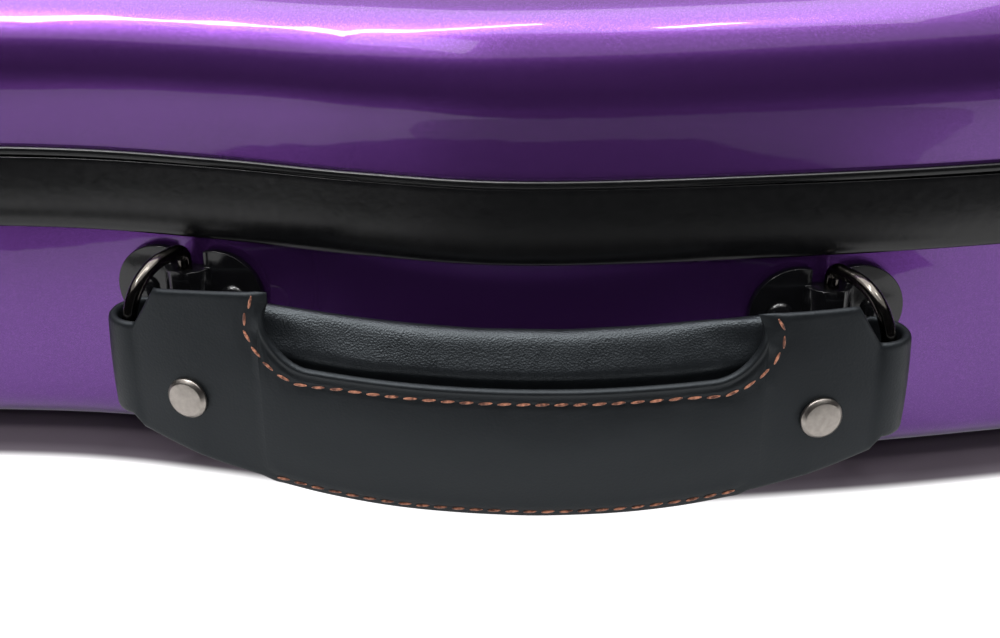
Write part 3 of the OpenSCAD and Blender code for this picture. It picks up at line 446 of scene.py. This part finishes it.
# Rings, hinges and latches with their rivets: steel plated in black nickel, bent or pressed and tumbled.
# Fine marks cover the plate, which is a little worn and warm in tone.
# The wires and pins keep their CAD shapes.
nickel, tree, shader = blank_material("black_nickel")
marks = pattern(tree, "ShaderNodeTexNoise", {"Scale": 900, "Detail": 4}).outputs["Fac"]
tinted(tree, marks, shader.inputs["Base Color"], (0, (0.070, 0.063, 0.057)), (1, (0.150, 0.136, 0.122)))
spread(tree, marks, shader.inputs["Roughness"], 0.07, 0.18)
relief(tree, marks, shader.inputs["Normal"], 0.06, 0.2)
set_inputs(shader, {"Metallic": 1.0})

for node in ("handle_ring_left", "handle_ring_right", "strap_ring_scroll", "strap_ring_lower",
             "latch_bail_left", "latch_bail_right", "hinge_pins", "latch_lever_pins"):
    for slot in frame["nodes"][node].material_slots:
        slot.material = nickel
for node, body in (("base_hinge_leaves", "base"), ("lid_hinge_leaves", "lid"), ("latch_plates", "base"),
                   ("latch_keepers", "lid"), ("latch_lever_left", "latch_lever_left"),
                   ("latch_lever_right", "latch_lever_right")):
    softened(node, node + "_plated", 0.3, nickel, body, segments=2)
for node, body in (("base_hinge_rivets", "base"), ("lid_hinge_rivets", "lid"), ("keeper_rivets", "lid"),
                   ("latch_plate_rivets", "base")):
    softened(node, node + "_plated", 0.15, nickel, body, segments=2)

# Feet: turned discs of the strip's rubber, four under the base and two on its back.
# With those on the back the case can also stand on its spine.
for node in ("floor_feet", "spine_feet"):
    softened(node, node + "_rubber", 0.4, rubber, "base")

# Handle cover: one strap of black leather, skived, bowed over the grip and folded round both rings.
# Its long window is turned under into a lip, its lower edge into a flange, and both are sewn.
# A place on it is a distance along the handle, one outwards from the line between the rings, and a height.
hide, tree, shader = blank_material("black_leather")


def blended(tree, factor, one, other):
    """A mix of two values."""
    node = add_node(tree, "ShaderNodeMix", {"Factor": factor})
    tree.links.new(one, node.inputs[2])
    tree.links.new(other, node.inputs[3])
    return node.outputs[0]


pores = pattern(tree, "ShaderNodeTexVoronoi", {"Scale": 1500}).outputs["Distance"]
creases = pattern(tree, "ShaderNodeTexNoise", {"Scale": 260, "Detail": 6, "Roughness": 0.65}).outputs["Fac"]
tinted(tree, creases, shader.inputs["Base Color"],
       (0, (0.0032, 0.0037, 0.0044)), (1, (0.0105, 0.0120, 0.0140)))
spread(tree, creases, shader.inputs["Roughness"], 0.36, 0.58)
relief(tree, blended(tree, 0.55, pores, creases), shader.inputs["Normal"], 0.30, 0.25)
set_inputs(shader, {"Specular IOR Level": 0.42, "Specular Tint": (0.84, 0.93, 1.0, 1)})

ring_reach, ring_splay = 21.5, math.radians(30)
joint_at = {joint["name"]: Vector(joint["pos_m"]).xy / mm for joint in frame["joints"]}
left_end = joint_at["handle_swing"]
ring_arm = ring_reach * Vector((math.sin(ring_splay), -math.cos(ring_splay)))
right_end = joint_at["ring_right_swing"] + ring_arm
handle_span = right_end - left_end
handle_mid = ((left_end + right_end) / 2).to_3d()
handle_turn = Matrix.Rotation(math.atan2(handle_span.y, handle_span.x), 3, "Z")

loop_in, loop_r, loop_back, loop_low, loop_high = 3.3, 7.4, 2.2, 24.8, 50.0
loop_x = handle_span.length / 2 - loop_in
rivet_x, tail_x = loop_x - 13, loop_x - 21
leather_t, handle_bow, skive = 2.2, 15.0, 1.2
window_x, window_half, window_corner, window_z, window_lift = 2.5, 59.0, 12.0, 42.5, 2.8
cover_top, cover_low, cover_sweep, loop_fall = 60.0, 6.0, 15.5, 6.0
hook, hook_h, hook_len, left_ear, ear_len = 2.6, 9.0, 14.0, 2.6, 24.0
flange, flange_x, flange_half, flange_end = 0.9, 1.0, 55.0, 58.5
tuck, strap_crown, sag, ripple = 4.5, 1.6, 0.4, 0.3


def in_handle(x, out, z):
    return (handle_mid + handle_turn @ Vector((x, -out, z))) * mm


def cover_out(x):
    return loop_r - loop_back + handle_bow * (1 - (x / loop_x) ** 2)


def share(v, low, high):
    """How far a value is on the way from low to high, from 0 to 1."""
    return min(max((v - low) / (high - low), 0), 1)


def edge_heights(x):
    """Lower and upper edge of the cover at a place along it."""
    u = abs(x - window_x)
    t = share(u, window_half - window_corner, window_half)
    top = window_z + window_lift * min(1, u / window_half) ** 2
    ear = cover_top + left_ear * (x < 0) * (1 - share(u, window_half, window_half + ear_len))
    top += (ear - top) * (1 - math.sqrt(1 - t * t))
    top -= share(abs(x), loop_x - loop_fall, loop_x) * (cover_top - loop_high)
    lip = flange * (1 - share(abs(x - flange_x), flange_half, flange_end) ** 2)
    lip *= 0.15 + 0.85 * share(abs(x), 0, 45)
    return cover_low + cover_sweep * (x / loop_x) ** 2 - lip, top


def hook_at(x, z):
    """How far the upper corners beside the window lean over it."""
    u = x - window_x
    lean = hook * (1 - share(abs(u), window_half, window_half + hook_len)) ** 2
    return -math.copysign(lean, u) * share(z, cover_top - hook_h, cover_top) ** 2


front_step, window_steps, corner_step = 1.5, 40, 6
turn_steps = [math.sin(math.radians(a)) for a in range(0, 91, corner_step)]
window_flat = window_half - window_corner
window_xs = [window_x - window_flat - window_corner * s for s in turn_steps[::-1]]
window_xs += [window_xs[-1] + 2 * window_flat * k / window_steps for k in range(1, window_steps)]
window_xs += [window_x + window_flat + window_corner * s for s in turn_steps]
left_xs = [-loop_x + front_step * k for k in range(int((window_xs[0] + loop_x) / front_step) + 1)]
right_xs = [loop_x - front_step * k for k in range(int((loop_x - window_xs[-1]) / front_step) + 1)][::-1]
front_xs = left_xs[:-1] + window_xs + right_xs[1:]
window_edge = [Vector((x, edge_heights(x)[1])) for x in window_xs]
lower_edge = [Vector((x, edge_heights(x)[0])) for x in front_xs]
upper_edge = [Vector((x, edge_heights(x)[1])) for x in front_xs]


def off_line(p, line):
    """Distance of a place from a line of points."""
    best = math.inf
    for a, b in zip(line, line[1:]):
        d = b - a
        t = min(max((p - a).dot(d) / max(d.length_squared, 1e-9), 0), 1)
        best = min(best, (p - a - t * d).length)
    return best


def skived(edge):
    """Half thickness of the leather near an edge, rounded off over its last millimetre."""
    return leather_t / 2 * math.sqrt(max(0.02, 1 - (1 - min(edge / skive, 1)) ** 2))


seam_in, seam_wider, seam_closer = 3.5, 1.3, 2.2


def window_seam(x, z):
    """Distance of the window's stitches from its edge: more at the corners, less at their tops."""
    corner = share(abs(x - window_x), 40, 58)
    return seam_in + seam_wider * corner - seam_closer * share(z, 52, cover_top) ** 2


# Each row of relief is a height, its distance from the edge and its width: the window's lip and the groove
# behind it, then the furrow of the lower seam and the swelling above it
window_relief = ((0.5, 0.7, 0.6), (-0.3, 1.9, 0.5))
lower_relief = ((-0.3, 2.3, 0.6), (0.3, 4.2, 1.3))
furrow_deep, furrow_wide, flange_step, flange_slope = 0.28, 0.6, 0.55, 1.7


def raised(near, rows):
    return sum(high * hump(near, middle, width) for high, middle, width in rows)


def cover_skin(x, z):
    """Outward place of the leather's middle, and its half thickness, at a place on the cover."""
    low, high = edge_heights(x)
    v = share(z, low, high)
    p = Vector((x, z))
    near_window, near_low, near_top = (off_line(p, line) for line in (window_edge, lower_edge, upper_edge))
    over_grip = max(0, 1 - (x / (rivet_x - 2)) ** 2)
    out = cover_out(x) - over_grip * (tuck * (1 - v) ** 2.4 + sag * v * v) + strap_crown * v * (1 - v)
    out += raised(near_window, window_relief)
    out -= furrow_deep * hump(near_window, window_seam(x, z), furrow_wide)
    sewn = 1 - share(abs(x - flange_x), 54, 58)
    out += sewn * (raised(near_low, lower_relief) - flange_step * (1 - share(near_low, flange, flange_slope)))
    out += ripple * noise.noise(Vector((x * 0.05, z * 0.09, 3.1)))
    return out, skived(min(near_low, near_top))


def cover_point(x, z, side):
    """A place on the cover's front, at side 1, or on its back, at side -1."""
    slope = math.atan(-2 * handle_bow * x / loop_x ** 2)
    out, half = cover_skin(x, z)
    along = x + hook_at(x, z) - math.sin(slope) * side * half
    return in_handle(along, out + math.cos(slope) * side * half, z)


edge_rows = (0, 0.2, 0.6, 1.2, 1.9, 2.6, 3.1, 3.7, 4.4, 5.2)
middle_rows = 11


def row_heights(low, high):
    inside = high - low - 2 * edge_rows[-1]
    mid = [low + edge_rows[-1] + inside * k / middle_rows for k in range(1, middle_rows)]
    return [low + e for e in edge_rows] + mid + [high - e for e in edge_rows[::-1]]


def front_column(x):
    heights = row_heights(*edge_heights(x))
    return [cover_point(x, z, 1) for z in heights] + [cover_point(x, z, -1) for z in heights[::-1]]


def fold_column(x, out, across, low=loop_low):
    """A column of the folded strap: its middle's place and the way across its thickness."""
    heights = row_heights(low, loop_high)
    points = []
    for side, row in ((1, heights), (-1, heights[::-1])):
        for z in row:
            v = (z - low) / (loop_high - low)
            d = side * skived(min(z - low, loop_high - z)) + strap_crown * v * (1 - v)
            points.append(in_handle(x + across[0] * d, out + across[1] * d, z))
    return points


def loop_column(side, a):
    low = between(cover_low + cover_sweep, loop_low, share(a, 0, math.radians(20)))
    return fold_column(side * (loop_x + loop_r * math.sin(a)), loop_r * math.cos(a) - loop_back,
                       (side * math.sin(a), math.cos(a)), low)


loop_end = -loop_r - loop_back
tail_out = cover_out(tail_x) - 2 * leather_t
tail_tilt = math.atan2(tail_out - loop_end, loop_x - tail_x)


def tail_column(side, t):
    return fold_column(side * between(loop_x, tail_x, t), between(loop_end, tail_out, t),
                       (-side * math.sin(tail_tilt) * t, -between(1, math.cos(tail_tilt), t)))


loop_steps, tail_steps = 27, 6
columns = [tail_column(-1, k / tail_steps) for k in range(tail_steps, 0, -1)]
columns += [loop_column(-1, math.pi * k / loop_steps) for k in range(loop_steps, 0, -1)]
columns += [front_column(x) for x in front_xs]
columns += [loop_column(1, math.pi * k / loop_steps) for k in range(1, loop_steps + 1)]
columns += [tail_column(1, k / tail_steps) for k in range(1, tail_steps + 1)]
columns = [[p / mm for p in column] for column in columns]
cover = mesh_piece("handle_cover_leather", loft(columns, cap_first=True, cap_last=True), hide)
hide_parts("handle_cover")
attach(cover, "handle")

# Stitches: waxed copper thread in a saddle stitch, round the window and along the flange.
# Each stitch is a short bead, slanted a little and sunk into the leather.
stitch_len, stitch_wide, stitch_high, stitch_slant, stitch_out = 3.4, 0.76, 0.7, 0.10, 0.12
pitch, seam_end, flange_seam = 4.35, 2.4, 2.3
thread, tree, shader = blank_material("copper_thread")
twist = pattern(tree, "ShaderNodeTexNoise", {"Scale": 900}).outputs["Fac"]
tinted(tree, twist, shader.inputs["Base Color"], (0.38, (0.10, 0.028, 0.014)), (0.64, (0.52, 0.205, 0.115)))
relief(tree, twist, shader.inputs["Normal"], 0.5, 0.2)
set_inputs(shader, {"Roughness": 0.55, "Sheen Weight": 0.3})


def beside(line, dist):
    """A line moved to its right-hand side by a distance that depends on the place along it."""
    moved = []
    for i, p in enumerate(line):
        d = (line[min(i + 1, len(line) - 1)] - line[max(i - 1, 0)]).normalized()
        moved.append(p + dist(p.x, p.y) * Vector((d.y, -d.x)))
    return moved


def walk(line, step, start):
    """Places and headings at equal steps along a line."""
    stops, reach, want = [], 0, start
    for a, b in zip(line, line[1:]):
        length = (b - a).length
        while want <= reach + length:
            stops.append((a.lerp(b, (want - reach) / length), (b - a).normalized()))
            want += step
        reach += length
    return stops


def add_stitch(bm, p, d):
    ends = [Vector(cover_point(*(p + s * stitch_len / 2 * d), 1)) for s in (-1, 1)]
    along = (ends[1] - ends[0]).normalized()
    outward = (handle_turn @ Vector((0, -1, 0))).cross(along).cross(along) * -1
    outward.normalize()
    along = (along + stitch_slant * outward.cross(along)).normalized()
    across = outward.cross(along)
    axes = (along * stitch_len / 2, across * stitch_wide / 2, outward * stitch_high / 2)
    turn = Matrix(axes).transposed() * mm
    middle = (ends[0] + ends[1]) / 2 + outward * stitch_out * mm
    bmesh.ops.create_uvsphere(bm, u_segments=10, v_segments=8, radius=1,
                              matrix=Matrix.Translation(middle) @ turn.to_4x4())


bm = bmesh.new()
seam_line = [Vector((x, edge_heights(x)[0] + flange_seam)) for x in range(-55, 58, 2)]
for line in (beside(window_edge, window_seam), seam_line):
    run = sum((b - a).length for a, b in zip(line, line[1:])) - 2 * seam_end
    whole_step = run / round(run / pitch) - 1e-4
    for p, d in walk(line, whole_step, seam_end):
        add_stitch(bm, p, d)
stitches = mesh_piece("handle_stitches", bm, thread)
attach(stitches, "handle")

# Grip: a foam roll wrapped in the same leather, swelling to its middle, sewn in behind the cover's window.
# The wrap is stretched along its crown and gathers a little towards both ends.
# Stretching makes its grain finer, opens it and polishes it.
grip_half, grip_t, grip_high, grip_lift, grip_low, grip_gap = loop_x - 25, 15.0, 53.5, 4.4, 7.0, 0.6
ledge_out, ledge_z, ledge_below, ledge_above = 2.2, 2.0, 1.2, 4.0
grip_steps, grip_sides = 60, 72
wrap = hide.copy()
wrap.name = "grip_leather"
stretched = {"BUMP": {"Strength": 0.42}, "TEX_VORONOI": {"Scale": 2200}, "MIX": {"Factor": 0.25},
             "MAP_RANGE": {"To Min": 0.27, "To Max": 0.50}, "BSDF_PRINCIPLED": {"Specular IOR Level": 0.56}}
for node in wrap.node_tree.nodes:
    set_inputs(node, stretched.get(node.type, {}))


def grip_ring(t):
    """A ring round the grip, at a place from -1 to 1 along it."""
    x = grip_half * t
    swell = math.sqrt(max(0.02, 1 - abs(t) ** 3.4))
    low = cover_low + cover_sweep * (x / loop_x) ** 2 + grip_low
    high = grip_high + grip_lift * abs(t) ** 2.2
    thick = grip_t * (0.35 + 0.65 * swell) / 2
    tall = (high - low) / 2 * (0.96 + 0.04 * swell)
    mid = cover_out(x) - leather_t / 2 - grip_gap - thick
    ring = []
    for k in range(grip_sides):
        a = 2 * math.pi * k / grip_sides
        gather = 0.25 * share(abs(t), 0.55, 0.95) * math.sin(9 * a + 14 * t)
        gather += 0.30 * noise.noise(Vector((x * 0.06, math.cos(a) * 1.4, math.sin(a) * 1.4)))
        pull = 1 - max(0, gather + 0.25) / thick
        z = (high + low) / 2 + tall * (1 - max(0, gather) / tall) * math.sin(a)
        over = z - window_z - window_lift * (x / window_half) ** 2
        ledge = ledge_out * hump(over, ledge_z, ledge_below if over < ledge_z else ledge_above)
        out = mid + thick * pull * math.cos(a) + ledge * max(0, math.cos(a)) * swell
        ring.append(in_handle(x, out, z) / mm)
    return ring


grip_rings = [grip_ring(2 * k / grip_steps - 1) for k in range(grip_steps + 1)]
grip = mesh_piece("handle_grip_padded", loft(grip_rings, cap_first=True, cap_last=True), wrap)
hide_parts("handle_grip")
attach(grip, "handle")

# Rivets: tubular rivets with turned flat caps in antique nickel, paler than the other metal.
# They are clenched through the cover and its tail, and so close the loops round the rings.
caps, tree, shader = blank_material("antique_nickel")
turned = pattern(tree, "ShaderNodeTexNoise", {"Scale": 650, "Detail": 4}).outputs["Fac"]
tinted(tree, turned, shader.inputs["Base Color"], (0, (0.285, 0.258, 0.233)), (1, (0.540, 0.493, 0.452)))
relief(tree, turned, shader.inputs["Normal"], 0.08, 0.2)
set_inputs(shader, {"Metallic": 1.0, "Roughness": 0.32})
softened("handle_rivets", "handle_rivets_plated", 0.18, caps, "handle")

# Lining of the base: foam blocks and a floor pad wrapped in charcoal velvet and glued into the shell.
# The wrap rounds every edge, dips a little over the foam and shows a seam where two blocks meet.
# The floor pad flares towards its top edge, so that it closes on the blocks round it.
velvet, tree, shader = blank_material("charcoal_velvet")
pile = pattern(tree, "ShaderNodeTexNoise", {"Scale": 1900, "Detail": 3}).outputs["Fac"]
brushed = pattern(tree, "ShaderNodeTexNoise", {"Scale": 34, "Detail": 3, "Distortion": 0.8}).outputs["Fac"]
tinted(tree, blended(tree, 0.28, pile, brushed), shader.inputs["Base Color"],
       (0.3, (0.016, 0.015, 0.021)), (0.72, (0.062, 0.058, 0.078)))
relief(tree, pile, shader.inputs["Normal"], 0.45, 0.5)
set_inputs(shader, {"Roughness": 0.92, "Specular IOR Level": 0.15, "Sheen Weight": 0.55,
                    "Sheen Roughness": 0.35, "Sheen Tint": (0.42, 0.40, 0.52, 1)})
foam_dip, foam_dips = 0.25, 45


def frozen(obj):
    """Puts what an object's modifiers make into its own mesh."""
    shown = obj.evaluated_get(bpy.context.evaluated_depsgraph_get())
    made = bpy.data.meshes.new_from_object(shown)
    obj.modifiers.clear()
    old, obj.data = obj.data, made
    bpy.data.meshes.remove(old)


def in_velvet(name, bm, voxel):
    """A closed block as an even net of velvet, its mesh size in mm."""
    obj = mesh_piece(name, bm, velvet)
    remesh = obj.modifiers.new("voxels", "REMESH")
    remesh.mode = "VOXEL"
    remesh.voxel_size = voxel * mm
    frozen(obj)
    obj.data.materials.clear()
    obj.data.materials.append(velvet)
    return obj


def wrapped(node, name, voxel, rounds):
    """A CAD node's block as foam under cloth, its edges rounded by smoothing."""
    obj = in_velvet(name, merged_copy(node), voxel)
    bm = bmesh.new()
    bm.from_mesh(obj.data)
    for _ in range(rounds):
        bmesh.ops.smooth_vert(bm, verts=bm.verts, factor=0.5,
                              use_axis_x=True, use_axis_y=True, use_axis_z=True)
    for v in bm.verts:
        v.co += v.normal * foam_dip * mm * noise.noise(v.co * foam_dips)
    for face in bm.faces:
        face.smooth = True
    bm.to_mesh(obj.data)
    bm.free()
    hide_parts(node)
    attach(obj, "base")
    return obj


floor_pad = wrapped("base_lining", "base_lining_velvet", 4.0, 2)
flare, tray_room, upright = 8, 8, 0.35
pad_low, pad_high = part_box("base_lining")
tray_low, tray_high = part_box("accessory_tray")
for v in floor_pad.data.vertices:
    side = Vector((v.normal.x, v.normal.y, 0))
    by_tray = all(tray_low[k] - tray_room * mm < v.co[k] < tray_high[k] + tray_room * mm for k in (0, 1))
    if side.length > upright and not by_tray:
        v.co += side.normalized() * flare * mm * share(v.co.z, pad_low[2], pad_high[2])
wrapped("lining_block_front", "lining_front_velvet", 2.6, 6)
wrapped("lining_block_back", "lining_back_velvet", 2.6, 6)
wrapped("neck_cradle", "neck_cradle_velvet", 2.2, 7)

# Cushions: sewn velvet cases with loose filling, under the violin's back.
# They are blown up as cloth by a few millimetres at most, and rest flat on the floor pad.
cushion_voxel, cushion_swell, cushion_slack = 4.5, 3, (0.97, 0.97, 0.86)
softness, sim_frames = 4.0, 20


def stuffed(node, name):
    bm = merged_copy(node)
    low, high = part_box(node)
    foot = Vector(((low[0] + high[0]) / 2, (low[1] + high[1]) / 2, low[2]))
    bmesh.ops.scale(bm, vec=cushion_slack, verts=bm.verts, space=Matrix.Translation(-foot))
    obj = in_velvet(name, bm, cushion_voxel)
    start = [v.co.copy() for v in obj.data.vertices]
    cloth = obj.modifiers.new("cloth", "CLOTH")
    cloth.settings.use_pressure = True
    cloth.settings.uniform_pressure_force = softness
    cloth.settings.effector_weights.gravity = 0
    cloth.point_cache.frame_start, cloth.point_cache.frame_end = 1, sim_frames
    for step in range(1, sim_frames + 1):
        scene.frame_set(step)
    frozen(obj)
    scene.frame_set(1)
    for v, was in zip(obj.data.vertices, start):
        move = v.co - was
        if move.length > cushion_swell * mm:
            v.co = was + move * (cushion_swell * mm / move.length)
        v.co.z = max(v.co.z, low[2])
    for face in obj.data.polygons:
        face.use_smooth = True
    finer = obj.modifiers.new("finer", "SUBSURF")
    finer.levels = finer.render_levels = 1
    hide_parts(node)
    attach(obj, "base")


stuffed("lower_cushion", "lower_cushion_velvet")
stuffed("upper_cushion", "upper_cushion_velvet")

# Tray and neck straps: a flocked moulded tray dropped into its pocket at the scroll end.
# Two leather tabs on the lining tie over the violin's neck.
softened("accessory_tray", "accessory_tray_flocked", 0.8, velvet, "base")
softened("neck_strap_tabs", "neck_strap_tabs_leather", 0.6, hide, "base")

# Lining of the lid: a foam sheet under velvet, pressed into the crown and glued there.
# Its edge is rolled over just inside the rim, and the cloth dips a little over the foam.
lining_gap, lining_t, lining_back, lining_face = 3.8, 5.0, 50.2, 45.2
back_rows = (0.36, 0.2, 0.1)
roll_rows = ((0.7, 0.036), (2.5, 0.020), (4.2, 0.034))
roll_top, lining_dip, lining_dips, crown_z = 0.12, 0.35, 30, 90
face_in = lining_gap + lining_t
rings = [lid_ring(lining_gap, 0, height, lining_back) for height in back_rows]
rings += [lid_ring(lining_gap + dist, 0, height, lining_back) for dist, height in roll_rows]
face_rows = [(dist, inward, max(height, roll_top)) for dist, inward, height in lid_profile]
face_profile = smooth_profile(face_rows, profile_steps)
rings += [lid_ring(dist + face_in, inward, height, lining_face) for dist, inward, height in face_profile]
rings += [lid_ring(crown_in + face_in, inward, 1, lining_face) for inward, _ in crown_rows]
bm = loft(rings, cap_last=True)
for v in bm.verts:
    v.co.z -= lining_dip * mm * (1 + noise.noise(v.co * lining_dips)) * (v.co.z > crown_z * mm)
lid_lining = mesh_piece("lid_lining_velvet", bm, velvet)
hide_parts("lid_lining")
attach(lid_lining, "lid")

# Bow holders: velvet-covered tubes for the bows' tips, fixed to the lid's lining.
# Towards the other end, moulded black spinners turn on posts and hold the sticks.
softened("bow_tip_pockets", "bow_tip_pockets_velvet", 0.6, velvet, "lid")
moulded, tree, shader = blank_material("moulded_black")
spark = pattern(tree, "ShaderNodeTexNoise", {"Scale": 1100, "Detail": 3}).outputs["Fac"]
tinted(tree, spark, shader.inputs["Base Color"], (0, (0.012, 0.012, 0.013)), (1, (0.030, 0.030, 0.032)))
relief(tree, spark, shader.inputs["Normal"], 0.2, 0.2)
set_inputs(shader, {"Roughness": 0.42})
softened("spinner_posts", "spinner_posts_moulded", 0.3, moulded, "lid", segments=2)
for node in ("bow_spinner_front", "bow_spinner_back"):
    softened(node, node + "_moulded", 0.9, moulded, node)

# Paper floor: a white sheet under the case, with a painted contact shadow round the case's round bottom.
# For camera rays the paper's colour darkens towards the outline and its white glow fades out there, so the
# real shadow falls on paper painted dark. The painted shadow follows the outline, by the distance from it
# that each point of the sheet holds.
sheet_steps = (-30, -10, 0, 4, 8, 12, 16, 20, 24, 28, 34)
sheet_reach, back_gain, back_blend = 6000, 0.8, 40
paper_grey, paper_mirror, shadow_fade_from, shadow_fade_to = 0.70, 0.04, 0.29, 0.43
paper, tree, shader = blank_material("studio_paper_painted_shadow")
ray = add_node(tree, "ShaderNodeLightPath")
away = add_node(tree, "ShaderNodeAttribute")
away.attribute_name = "away"
# Painted contact shadow: for camera rays the paper's colour runs from dark grey at the outline to white,
# while other rays see plain grey paper.
sheet = add_node(tree, "ShaderNodeMix")
sheet.data_type = "RGBA"
sheet.inputs[6].default_value = (paper_grey, paper_grey, paper_grey, 1)
tinted(tree, away.outputs["Fac"], sheet.inputs[7],
       (0.16, (0.080, 0.066, 0.080)), (0.38, (0.17, 0.15, 0.17)), (0.60, (0.9, 0.9, 0.9)))
tree.links.new(ray.outputs["Is Camera Ray"], sheet.inputs["Factor"])
tree.links.new(sheet.outputs[2], shader.inputs["Base Color"])
# The white glow for camera rays fades out towards the case, so that the painted shadow shows there.
shadow_fade = add_node(tree, "ShaderNodeMapRange", {"From Min": shadow_fade_from, "From Max": shadow_fade_to})
shadow_fade.interpolation_type = "SMOOTHSTEP"
tree.links.new(away.outputs["Fac"], shadow_fade.inputs["Value"])
seen = combined(tree, "MAXIMUM", ray.outputs["Is Camera Ray"], ray.outputs["Is Transmission Ray"])
white = combined(tree, "MULTIPLY", seen, shadow_fade.outputs["Result"])
white = combined(tree, "MULTIPLY_ADD", ray.outputs["Is Glossy Ray"], paper_mirror, white)
tree.links.new(white, shader.inputs["Emission Strength"])
set_inputs(shader, {"Roughness": 0.9, "Specular IOR Level": 0.0, "Emission Color": (1, 1, 1, 1)})

rings = [level(drawn_in(outline, -step), 0) for step in sheet_steps]
rings.append(level([sheet_reach * q.normalized() for q in outline], 0))
bm = loft(rings, cap_first=True)
grade = bm.verts.layers.float.new("away")
for i, v in enumerate(bm.verts):
    row = i // len(outline)
    v[grade] = 1
    if row < len(sheet_steps):
        # Behind the case the painted shadow band is narrower.
        behind = share(v.co.y / mm, -back_blend, back_blend)
        v[grade] = max(0, sheet_steps[row]) / sheet_steps[-1] * (1 + back_gain * behind)
floor = mesh_piece("studio_floor", bm, paper, smooth=False)

# Cards: a black and a grey sheet flat on the floor in front of the case, which only mirror rays meet.
# They are painted reflections, seen only as dark mirror images in the lacquer along the lid's lower edge.
near_card = ((-175, -215), (300, -215), (300, -318), (268, -341), (248, -374), (188, -390),
             (57, -392), (-34, -362), (-65, -330), (-109, -293), (-130, -276), (-175, -258))
far_x, far_y, far_wide, far_deep, far_corners = 190, -410, 260, 130, 24
far_turns = [2 * math.pi * k / far_corners for k in range(far_corners)]
far_card = [(far_x + far_wide * math.cos(a), far_y + far_deep * math.sin(a)) for a in far_turns]
cards = (("painted_reflection_card_near", 1, 0.02, near_card), ("painted_reflection_card_far", 0.5, 0.30, far_card))
for name, high, shade, corners in cards:
    bm = bmesh.new()
    bm.faces.new([bm.verts.new((x * mm, y * mm, high * mm)) for x, y in corners])
    mirror_only(mesh_piece(name, bm, matt(name, (shade, shade, shade)), smooth=False))
